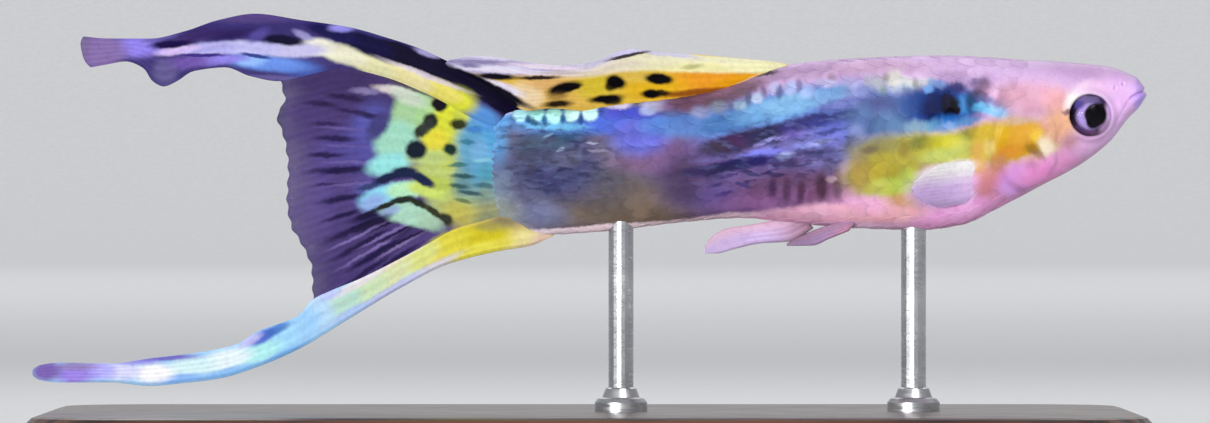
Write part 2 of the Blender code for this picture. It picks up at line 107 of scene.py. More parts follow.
PECTORAL_ROOT = (6.76, -1.20)

# Edges of the fins: (back, up), from root to tip. The web's upper and lower edges run inside the swords
SWORD_TOP_OUTER = (
    (24.9, 1.75), (25.6, 2.35), (26.65, 2.95), (27.85, 3.55), (29.05, 4.10), (30.25, 4.50), (31.85, 4.95),
    (33.85, 5.25), (35.65, 5.50), (37.1, 5.25), (38.45, 4.80), (39.85, 4.50), (41.45, 4.50), (42.70, 4.60),
)
SWORD_TOP_INNER = (
    (25.6, 0.70), (26.90, 1.25), (28.65, 2.20), (30.65, 3.00), (32.25, 3.30), (33.45, 3.05), (34.75, 2.80),
    (35.85, 3.00), (36.85, 3.35), (38.1, 3.20), (38.8, 2.78), (39.3, 2.58), (39.75, 2.80), (40.1, 3.30),
    (40.8, 3.58), (41.6, 3.45), (42.40, 3.30),
)
WEB_TOP = (
    (25.5, 0.90), (26.80, 1.45), (28.55, 2.42), (30.55, 3.22), (32.25, 3.52), (33.45, 3.27), (34.75, 3.00),
)
WEB_MARGIN = (
    (34.75, 3.00), (34.50, 2.05), (34.80, 1.40), (34.50, 0.45), (34.35, -0.75), (34.40, -1.95),
    (34.25, -2.95), (33.80, -3.75), (33.40, -4.75), (33.35, -6.15),
)
WEB_ROOT = ((25.5, 0.90), (25.5, -1.1), (25.6, -2.75))
WEB_BOTTOM = (
    (25.6, -2.75), (26.60, -3.00), (27.55, -3.30), (28.55, -3.85), (29.75, -4.50), (31.35, -5.30),
    (32.55, -5.80), (33.35, -6.15),
)
SWORD_LOW_INNER = (
    (23.4, -2.70), (24.6, -2.55), (25.7, -2.55), (26.65, -2.80), (27.65, -3.10), (28.65, -3.65),
    (29.85, -4.30), (31.45, -5.10), (32.65, -5.60), (33.35, -5.95), (33.95, -6.60), (35.50, -7.20),
    (36.45, -7.75), (37.85, -8.05), (39.85, -8.30), (41.45, -8.50), (43.45, -8.45), (44.50, -8.60),
)
SWORD_LOW_OUTER = (
    (23.7, -3.40), (24.65, -3.80), (25.85, -4.00), (27.85, -4.50), (29.85, -5.50), (31.85, -6.70),
    (33.85, -7.90), (35.45, -8.60), (37.05, -9.10), (38.65, -9.30), (39.85, -9.40), (41.45, -9.25),
    (43.45, -9.25), (44.50, -9.10),
)
DORSAL_TOP = (
    (14.30, 3.45), (14.9, 3.58), (16.25, 3.70), (17.85, 3.85), (19.45, 3.95), (20.55, 4.10), (21.35, 3.90),
    (22.1, 3.55), (23.45, 3.42), (24.65, 3.52), (25.85, 3.72), (26.65, 3.80), (28.00, 3.60),
)
DORSAL_LOW = (
    (14.30, 2.60), (15.65, 2.30), (16.85, 1.90), (18.25, 1.75), (19.85, 1.60), (21.85, 1.55), (23.85, 1.70),
    (24.7, 1.60), (25.25, 1.78), (25.9, 2.24), (26.70, 2.85), (28.00, 3.40),
)
ANAL_TOP = ((13.7, -2.4), (15.05, -2.80), (16.05, -2.98), (16.80, -3.10), (17.45, -3.50), (17.65, -3.80))
ANAL_LOW = ((13.3, -3.10), (14.25, -3.62), (15.45, -3.70), (16.45, -3.92), (17.2, -4.10), (17.65, -4.10))
PELVIC_TOP = ((11.5, -2.7), (12.8, -3.00), (14.0, -3.50), (14.35, -3.70))
PELVIC_LOW = ((11.9, -3.20), (12.7, -3.52), (13.35, -3.78), (14.35, -3.80))
PELVIC_SIDE = 0.62
DORSAL_LEAN, DORSAL_LEAN_FROM, DORSAL_LEAN_RUN = 0.67, 19.0, 6.0
PECTORAL_LENGTH, PECTORAL_START, PECTORAL_INSET = 2.9, -0.35, 0.12
PECTORAL_DEPTH = ((-0.5, 1.20), (0.0, 1.25), (0.5, 1.70), (1.4, 1.72), (2.9, 1.70))
PECTORAL_ROUNDING, PECTORAL_DROOP, PECTORAL_OUTWARD = 0.40, 7.0, 20.0

# Scales: rows round the body and the distance between columns, then where they begin at a height: (up, back)
SCALE_ROWS, SCALE_COLUMNS, SCALE_PITCH = 24, 34, 0.72
SCALE_LINE = (
    (-3.2, 4.9), (-1.8, 5.0), (-1.2, 5.9), (-0.6, 6.25), (0.2, 6.35), (1.0, 6.25), (1.9, 5.6), (2.6, 4.6),
    (4.0, 4.2),
)
FIRST_COLUMN, LAST_ROOT, LAST_TIP = 4.0, BODY_LENGTH - 0.75, BODY_LENGTH - 0.12
# Height of a scale's outer and inner face over the body at its root, and how far each rises to its free edge
OUTER_FACE, OUTER_RISE = -0.043, 0.035
INNER_FACE, INNER_RISE = -0.058, 0.034
SCALE_WIDTH, CORNER_CUT = 0.60, 0.34
BAKE_PATCH = 0.003

# Skin: rings along the body and points round it, and how closely the rings crowd at both ends and at the head
RINGS, AROUND = 280, 232
END_CROWDING, HEAD_CROWDING = 0.42, 0.30
TAPER_FROM, ROOT_HALF_WIDTH = 22.6, 0.09

# Relief of the head: (height, width) of each fold, in mm
CLEFT, LIPS, LOWER_LIP = (-0.085, 0.055), (0.030, 0.10), 0.042
JAW, CHEEK, SLIT = (-0.028, 0.07), (-0.026, 0.09), (-0.085, 0.085)
EYE_RIM, EYE_FURROW, EYE_SOCKET = (0.055, 0.09), (-0.030, 0.12), -0.42
NOSTRIL, NOSTRIL_RIM, FIN_PAD = (-0.075, 0.06), (0.022, 0.05), (0.10, 0.42)
GILL_PLATE, COAT_STEP = 0.070, 0.038
# How far behind the snout each kind of relief lies, and how far the eye's reaches from its middle
MOUTH_END, GILL_FROM, GILL_END, HEAD_END, EYE_REACH = 1.9, 2.4, 7.2, 8.0, 1.7

# Fins: share of the thickness lost at the margin, the least half-thickness, and where the rays part in two
FIN_TAPER, THINNEST = 0.55, 0.012
RAYS_PART = (0.45, 0.75)
# Number of rays, and how much thicker than the membrane, in mm
SWORD_RAYS, DORSAL_RAYS = 3, 6
SWORD_EXTRA, DORSAL_EXTRA, ANAL_EXTRA = 0.06, 0.04, 0.1

# Cornea: how much wider and deeper than the eyeball
CORNEA_RIM, CORNEA_BULGE = 0.01, 0.03

# Stage: the floor's curve up to the wall in m, the photograph's width and pixel, and the camera's place in mm
FLOOR_HALF, CURVE_FROM, CURVE_RADIUS, WALL_TOP = 2.0, 1.5, 0.4, 1.6
FRAME_WIDTH, PIXEL, SENSOR = 1210, 0.04, 36.0
CAMERA_ACROSS, CAMERA_HEIGHT, MODEL_MIDDLE = 0.61, 10.98, (0.0, 0.0, 11 * MM)
# Soft lights: place, size, what it is aimed at, and the setting and share of it that give its power
LIGHTS = {
    "key_light": ((0.07, -0.24, 0.18), (0.18, 0.14), MODEL_MIDDLE, "key", 1.0),
    "fill_light": ((-0.12, -0.24, 0.04), (0.14, 0.06), MODEL_MIDDLE, "fill", 1.0),
    "rim_light": ((0.02, 0.16, 0.16), (0.2, 0.08), MODEL_MIDDLE, "fill", 0.2),
    "backdrop_light": ((0.0, 0.6, 1.1), (1.6, 0.4), (0.0, 1.7, 0.28), "backdrop", 1.0),
}

# How many marks the renderer works out at once, and the trace of colour that parts one lot from the next
MARKS_AT_ONCE, TRACE = 12, 1e-7
# How far the marks' edges are frayed in mm, how metallic blue looks, and how bright a fin is under its rays
COMB_DEPTH, SHEEN, FIN_DEPTH = 0.22, 0.12, 0.74
SIDES = (("left", 1), ("right", -1))

PALETTE = {
    "deep_plum": "46305c", "eye_black": "030207", "eye_ring": "24122c", "eye_violet": "5a4c98",
    "halo_white": "f3e8f2", "ink_violet": "322c5c", "pearl": "e8e6e4", "sword_film": "453c78",
    "sword_ice": "a3d2f7", "umber_grey": "62586a", "under_lilac": "c8b0dc", "under_pink": "d8b4cc",
}


# Marks, painted in this order over a ground colour: how far back and up, half-length and half-height in
# hundredths of a mm, turn in degrees, softness of the edge in percent, colour, strength in percent, and what
# breaks it up
BODY_MARKS = (
    # Ground of the rear stalk
    (2204, -68, 820, 320, 0, 20, "stalk_grey", 100), (2024, -216, 360, 96, -3, 50, "7a6a56", 90),
    (1784, -204, 104, 72, 0, 60, "7a6058", 60), (2184, -136, 136, 104, 0, 70, "504e58", 80),
    (2392, -44, 200, 168, -5, 45, "363a64", 95), (2424, -28, 112, 112, -10, 50, "20224a", 80, "shades"),
    (2464, -4, 40, 36, -30, 50, "1a1c3c", 80), (2440, -100, 44, 28, 20, 50, "20204a", 75),
    (2380, -140, 36, 40, 0, 60, "2a2c58", 70), (2336, 36, 44, 20, -30, 50, "1c3c58", 75),
    (2296, -28, 48, 32, -10, 60, "4a4c6c", 60), (2360, 60, 160, 48, -16, 50, "234260", 85),
    (2504, -220, 160, 88, 20, 60, "686c8c", 60), (2412, -252, 96, 40, 8, 60, "70789c", 60),
    (2588, -56, 40, 80, 0, 70, "50608a", 75), (2592, 68, 40, 104, 0, 60, "4688bc", 80),
    (2592, -164, 48, 72, 0, 70, "74889a", 70), (2608, -252, 96, 64, 0, 70, "8c9488", 80),
    (2600, -332, 120, 40, -4, 50, "c4b870", 80),
    # Plum and brown behind the middle
    (1816, -20, 184, 96, 4, 50, "6c4458", 95), (1984, -36, 144, 48, -4, 60, "7c5a80", 80),
    (1644, -100, 280, 160, -4, 50, "60549a", 95), (1556, -216, 208, 56, -4, 60, "785890", 70),
    (1764, -84, 128, 36, -4, 50, "46345c", 80), (1832, -100, 104, 96, 0, 60, "4a384e", 80),
    # Blue along the top of the stalk
    (2264, 124, 384, 56, -1, 40, "426ca4", 100), (2104, 112, 160, 44, -1, 50, "4f6cd0", 95),
    (2024, 60, 120, 76, -6, 50, "5c60b8", 100), (1912, 116, 112, 48, -8, 50, "4c78bc", 85),
    (2040, 156, 88, 24, 4, 60, "4a50c4", 85), (2136, 156, 40, 28, 0, 66, "5a58c8", 75),
    (2368, 100, 120, 16, 2, 50, "6cb4d8", 80), (2576, 132, 36, 40, 0, 70, "5896cc", 80),
    # Bright scales along the top of the stalk
    (2560, 164, 28, 20, 0, 46, "c4c8ee", 85), (2500, 148, 32, 30, 6, 30, "ace4ec", 100),
    (2440, 152, 34, 34, 8, 30, "a8ece8", 100), (2368, 144, 32, 34, 6, 30, "b0f0e4", 100),
    (2296, 152, 32, 34, 4, 30, "c0eee4", 100), (2224, 152, 32, 34, 0, 30, "c8f0ec", 100),
    (2472, 128, 10, 20, 10, 50, "1c5480", 80), (2404, 124, 10, 20, 0, 50, "1c5480", 80),
    (2424, -28, 40, 28, 0, 60, "1a264c", 75), (2332, 128, 10, 20, 0, 50, "205888", 80),
    (2260, 128, 10, 24, 0, 50, "18406c", 85), (2300, 180, 36, 12, 0, 66, "e8dce0", 85),
    (2116, 188, 56, 20, 4, 46, "e8dcf4", 100), (1964, 188, 52, 28, 0, 46, "d0d4fc", 100),
    (1992, 160, 32, 18, 0, 50, "bcccf4", 85), (1912, 188, 24, 24, 0, 56, "b49cec", 75),
    (2452, 116, 24, 12, 30, 56, "0e4866", 85), (2180, 156, 12, 24, 0, 66, "3c4a9c", 75),
    # Back under the dorsal fin. Its dark plum first mark (634458) is painted shadow of the fin's front end
    (1764, 212, 208, 52, -10, 50, "634458", 98), (1604, 272, 160, 40, -20, 50, "8c6880", 85),
    (1384, 308, 248, 32, -2, 60, "ac90b0", 80), (1064, 332, 200, 28, 1, 60, "bc9cb8", 75),
    (244, 308, 208, 36, 6, 70, "b894be", 70), (2344, 192, 240, 16, 2, 50, "7a8cb4", 50),
    # Painted shadow: a dark line in the gap under the fin's front end
    (1528, 308, 48, 10, -8, 50, "2c1c2c", 90),
    # Middle of the flank
    (1384, 24, 344, 144, -8, 40, "5e5e98", 100), (1536, -68, 240, 88, -6, 50, "6a5688", 85),
    (1416, -148, 240, 64, -3, 50, "6c4866", 85), (1484, -204, 192, 48, -4, 60, "8a6090", 80),
    # Light blue stripe
    (1424, 156, 416, 92, -11, 35, "5c78bc", 100), (1784, 108, 136, 44, -10, 50, "587cb8", 95),
    (1656, 116, 136, 40, -14, 40, "426ca4", 100), (1496, 164, 152, 48, -12, 40, "stripe_blue", 100),
    (1404, 192, 128, 40, -10, 40, "80b0d6", 100), (1240, 216, 104, 40, -6, 40, "7098c4", 100),
    (1136, 228, 72, 36, -2, 60, "8088ba", 90), (1444, 152, 184, 24, -14, 50, "70b8dc", 35, "glints"),
    (1204, 188, 104, 24, -10, 50, "6a66ac", 80), (1684, 136, 120, 20, -14, 50, "7ca4d0", 30, "glints"),
    # Pale scales along the stripe's upper edge. The two dark marks 6c5462 and 604a56 among them are painted
    # shadow under the dorsal fin's front end
    (1784, 156, 36, 24, 0, 56, "8c90b4", 80), (1608, 244, 64, 24, -24, 60, "6c5462", 85),
    (1720, 200, 56, 20, -10, 60, "604a56", 80), (1712, 172, 32, 24, 0, 56, "7c8494", 80),
    (1624, 180, 28, 20, 0, 56, "8ca6b8", 85), (1556, 208, 22, 20, 0, 46, "b4c2da", 90),
    (1488, 252, 22, 24, 0, 46, "b8b8de", 90), (1424, 248, 24, 28, 0, 46, "acb8e2", 90),
    (1360, 236, 32, 28, 0, 56, "a8bce8", 80), (1468, 236, 12, 24, 0, 66, "5c6490", 85),
    (1392, 260, 12, 24, 0, 66, "6c6898", 80), (1532, 236, 12, 24, 0, 66, "6c5c7c", 75),
    (1592, 204, 12, 24, 0, 66, "4c5870", 80), (1664, 180, 12, 20, 0, 66, "5c6078", 75),
    (1260, 292, 16, 16, 0, 66, "887884", 75), (1280, 268, 36, 16, 0, 66, "b4b4d4", 75),
    (1184, 268, 40, 20, 0, 66, "a8a8cc", 75),
    # Pale row over the shoulder
    (1012, 284, 32, 36, 8, 51, "d4d4c8", 89), (964, 264, 32, 32, 0, 51, "ccd0cc", 89),
    (888, 268, 36, 24, 0, 51, "d0d4d0", 89), (1072, 268, 32, 32, 0, 56, "a8acb0", 80),
    (1112, 276, 20, 24, 0, 66, "b0b0b4", 66), (1056, 232, 16, 24, 0, 66, "7c9480", 85),
    (928, 260, 12, 28, 0, 66, "88907c", 80), (1044, 292, 16, 16, 0, 66, "948c8c", 75),
    (764, 288, 104, 28, 0, 70, "9478a0", 55), (984, 244, 56, 16, 0, 75, "a8b8cc", 75),
    # Dark line under the stripe
    (1632, 36, 144, 40, -14, 40, "34284a", 100), (1484, 72, 128, 36, -14, 40, "262444", 100),
    (1360, 112, 112, 28, -12, 40, "32306c", 98), (1280, 116, 64, 28, -10, 56, "343a80", 100),
    (1176, 140, 104, 28, -8, 40, "303870", 100), (1088, 168, 64, 28, -4, 66, "44487c", 89),
    (1644, 40, 36, 24, 0, 66, "40224c", 85), (1732, 12, 56, 28, -10, 66, "3c3044", 85),
    (1000, 180, 104, 44, 0, 50, "7288c4", 95),
    # Bright streaks of the middle
    (1240, 80, 84, 36, -12, 45, "5c64b4", 100), (1272, 40, 64, 24, -10, 66, "686cbc", 85),
    (1164, 80, 32, 28, 0, 66, "6c76a8", 75), (1524, 36, 48, 9, -22, 50, "8684c4", 85),
    (1456, 52, 28, 9, -18, 56, "8880c0", 85), (1536, -12, 88, 20, -8, 50, "6c70cc", 95),
    (1448, -20, 36, 14, -10, 56, "98a8d8", 89), (2192, 0, 36, 6, 4, 50, "b0a8c0", 70),
    (2216, 32, 24, 5, 8, 50, "a8b0c8", 60), (2344, 4, 20, 6, -30, 50, "98a8c8", 60),
    (2392, 60, 20, 6, -20, 50, "84a8c4", 60), (1368, 20, 64, 16, -12, 66, "6c76b8", 85),
    (1304, 32, 48, 12, -10, 66, "9ca0d8", 80), (1400, 68, 56, 20, -8, 66, "60549c", 80),
    (1216, -4, 36, 32, -20, 66, "6c70a4", 80), (1256, -60, 32, 36, 0, 66, "585272", 80),
    (1324, -36, 32, 32, 0, 66, "8078b0", 66),
    # Dark streaks of the middle
    (1608, -48, 136, 22, -8, 40, "24205a", 100), (1736, -76, 120, 20, -4, 50, "26244c", 95),
    (1440, -48, 52, 18, -4, 56, "342e54", 89), (1784, -88, 64, 20, 0, 66, "322850", 85),
    (1304, -12, 72, 20, -6, 66, "3c3c68", 85), (1184, 20, 24, 32, 10, 66, "404c68", 85),
    (1112, 20, 32, 20, 0, 66, "544048", 85), (1664, -140, 80, 40, -10, 66, "423478", 80, "shades"),
    (1524, -84, 112, 40, -8, 50, "3c2c60", 70, "shades"),
    (1444, 12, 368, 144, -10, 50, "8890d4", 16, "glints"),
    (1444, 4, 368, 144, -10, 50, "1e2048", 50, "shades"),
    (2324, -44, 296, 176, 0, 50, "7890b8", 10, "glints"),
    (2384, -28, 240, 168, 0, 50, "181c40", 60, "shades"),
    (964, 184, 360, 88, -4, 50, "90b0dc", 14, "glints"),
    (964, 156, 320, 96, -4, 50, "28386c", 40, "shades"),
    # Dark bars over the belly
    (1384, -164, 16, 56, 4, 66, "4c3048", 85), (1304, -144, 24, 60, 4, 66, "442c3a", 89),
    (1440, -156, 16, 48, 0, 66, "503450", 80), (1240, -132, 20, 48, 0, 66, "644858", 80),
    (1496, -148, 16, 40, 0, 66, "442c50", 75), (1344, -184, 16, 32, 0, 66, "603c54", 66),
    (1176, -108, 48, 28, -10, 66, "6c5c60", 80), (1264, -112, 20, 12, 0, 56, "b89ca8", 85),
    # Shoulder
    (1024, 132, 168, 96, -4, 45, "56709c", 100), (1112, 92, 48, 56, 0, 66, "4c6494", 89),
    (1004, 100, 88, 36, -6, 50, "5c7ca6", 90), (1160, 72, 28, 36, 0, 66, "7884b4", 60),
    (1064, 188, 64, 32, 0, 66, "4c5488", 85), (816, 180, 168, 84, 0, 40, "shoulder_blue", 100),
    (912, 188, 64, 48, 0, 60, "2a4884", 85), (872, 192, 56, 56, 0, 60, "163478", 90),
    (824, 216, 56, 36, 0, 60, "142e70", 85), (840, 172, 64, 56, 0, 50, "06184c", 100),
    (880, 244, 20, 16, 20, 50, "6c9cd8", 80), (844, 268, 36, 16, 10, 66, "6890c4", 80),
    (764, 252, 36, 20, 8, 56, "20245c", 85), (736, 180, 32, 36, 10, 66, "4488c8", 85),
    (708, 196, 24, 40, 0, 56, "0c3c64", 89), (668, 224, 32, 24, 30, 56, "1a2244", 89),
    (680, 172, 24, 16, 0, 66, "4c9ccc", 85), (624, 184, 48, 28, 20, 66, "2c68b0", 80),
    (656, 204, 28, 20, 20, 56, "2c5088", 80), (608, 156, 52, 24, 16, 61, "8cc0ea", 100),
    (660, 172, 28, 20, 10, 56, "64b0d8", 85), (656, 260, 32, 28, 30, 66, "584468", 85),
    (696, 268, 20, 16, 0, 66, "6c5888", 66), (572, 216, 24, 36, -20, 66, "6c5070", 80),
    (584, 192, 32, 24, 0, 60, "606488", 85), (552, 172, 24, 36, 0, 75, "9c98b8", 75),
    (796, 120, 56, 28, 0, 66, "1e5ca8", 85), (788, 178, 36, 38, 20, 50, "010108", 100),
    (768, 160, 20, 16, 30, 40, "020208", 100), (808, 204, 24, 24, 0, 60, "030828", 85),
    (864, 100, 48, 24, -6, 66, "5890b8", 89), (796, 92, 48, 20, -6, 56, "7498cc", 90),
    (728, 116, 48, 16, -10, 66, "4c8cc0", 75), (924, 92, 48, 28, 0, 66, "88a8b4", 75),
    (1024, 52, 136, 24, -6, 50, "8890a4", 80), (1144, 4, 56, 48, 0, 75, "706c80", 75),
    # Gold of the cheek and chest
    (752, 12, 368, 64, -2, 35, "chest_gold", 100), (528, 44, 144, 88, 0, 40, "cheek_gold", 100),
    (1040, -76, 168, 104, -12, 40, "a8a040", 100), (912, 32, 56, 28, -8, 56, "74763a", 85),
    (980, 4, 28, 36, 0, 66, "807434", 80), (1112, 4, 32, 16, 0, 66, "5c4848", 75),
    (1140, -36, 36, 36, 0, 70, "7c6c5c", 60), (1056, 20, 56, 32, -8, 70, "7c745a", 55),
    (1072, -68, 64, 48, -20, 66, "ac9c34", 80), (840, 24, 48, 32, -4, 66, "b4ac2c", 85),
    (784, 28, 36, 28, 0, 56, "d4cc3c", 89), (712, 72, 40, 24, -16, 56, "8c8828", 89),
    (744, 4, 40, 48, 0, 75, "c4c468", 66), (824, -20, 80, 28, -6, 66, "b8c470", 75),
    (640, 80, 64, 32, 0, 56, "c8ac38", 100), (576, 52, 36, 40, 10, 66, "cca410", 89),
    (512, 52, 56, 52, -6, 66, "d49c34", 89), (560, -8, 60, 28, -16, 61, "d08a2c", 89),
    (464, 84, 56, 32, 10, 66, "dcaa40", 85), (636, 12, 24, 36, 0, 51, "d8c478", 75),
    (684, -4, 28, 44, 0, 66, "cc9c50", 80), (676, -60, 36, 36, 10, 66, "d8a854", 85),
    (600, -52, 40, 36, -30, 66, "bc8858", 85), (444, 60, 24, 24, 30, 56, "e4c444", 85),
    (400, 16, 36, 44, -24, 51, "ecdfc4", 100), (464, 8, 28, 20, 20, 66, "94701c", 80),
    (436, -20, 32, 14, 30, 66, "8c6858", 80), (508, 120, 64, 16, -8, 66, "c0a894", 70),
    (1016, -148, 104, 40, -4, 40, "b2c050", 100), (1096, -148, 56, 28, -10, 66, "bcb858", 85),
    (952, -116, 40, 40, 0, 66, "b8cc5c", 85), (984, -208, 80, 32, 0, 61, "cca054", 89),
    (1152, -100, 32, 56, 0, 75, "b89c50", 75),
    # White and lilac under the pectoral fin. The lilac (dcc0f0) is lighter than its own colour: painted light
    # on the shaded underside
    (800, -76, 104, 28, -10, 50, "f0ecf4", 90), (808, -172, 136, 80, 0, 50, "dcc0f0", 90),
    # Gill cover to throat
    (616, -100, 52, 36, -10, 66, "cc8870", 80), (632, -156, 56, 52, 0, 66, "d8888c", 85),
    (480, -48, 48, 24, -20, 66, "e4b4a0", 85), (520, -100, 88, 48, -24, 50, "dc9cdc", 95),
    (536, -144, 64, 36, -20, 66, "dfa4ec", 89), (408, -76, 120, 44, -26, 50, "f09cd8", 98),
    (464, -56, 24, 20, 0, 66, "c884b0", 56),
    # Head
    (352, 124, 68, 96, 0, 55, "dca888", 100), (384, 204, 48, 40, 0, 75, "dca498", 75),
    (464, 216, 152, 56, 3, 70, "dca0b0", 70), (512, 216, 64, 40, 0, 70, "c494a4", 60),
    # The two near-white marks behind and above the eye, e8dee4 and e8e0dc, are a painted highlight
    (464, 156, 72, 24, 0, 75, "c090a0", 66), (260, 216, 72, 48, -34, 45, "e8dee4", 92),
    (300, 192, 32, 36, 0, 60, "e8e0dc", 88), (324, 152, 18, 12, 0, 60, "704c5c", 85),
    # The lilac-blue mark at the tip of the snout, b4a0f0, is a painted highlight on the lips
    (184, 252, 104, 32, -2, 60, "dcb0d8", 70), (32, 212, 32, 60, -10, 61, "b4a0f0", 100),
    (88, 260, 72, 36, 24, 75, "deb4e6", 75), (96, 172, 48, 56, 0, 75, "e4b4ea", 75),
    (312, 28, 36, 32, 0, 75, "b88494", 80), (344, -28, 56, 32, -24, 75, "e4a0d0", 75),
    (164, 76, 112, 40, -42, 60, "deb8e6", 70), (244, 20, 56, 28, -34, 75, "e0b0dc", 66),
    # Belly
    (1044, -252, 200, 36, 0, 50, "fcc0c8", 90), (1112, -220, 80, 36, -4, 66, "f8bce2", 85),
    (744, -244, 180, 44, -14, 50, "ffb8f0", 90), (1304, -248, 160, 32, -3, 50, "ffc4d8", 90),
    (1232, -260, 80, 20, 0, 66, "f8bccc", 75), (1424, -260, 200, 28, -3, 50, "ecb4d0", 90),
    (1224, -308, 240, 24, 0, 50, "ffd8f6", 85),
    # Pale line of the lower edge: its own pale colour, made lighter still as painted light where the edge
    # faces down
    (2124, -312, 440, 19, -4, 30, "f4dce4", 100), (1744, -276, 200, 18, -7, 40, "ecd0dc", 90),
    (2404, -324, 120, 14, 0, 50, "dcccd4", 85),
)

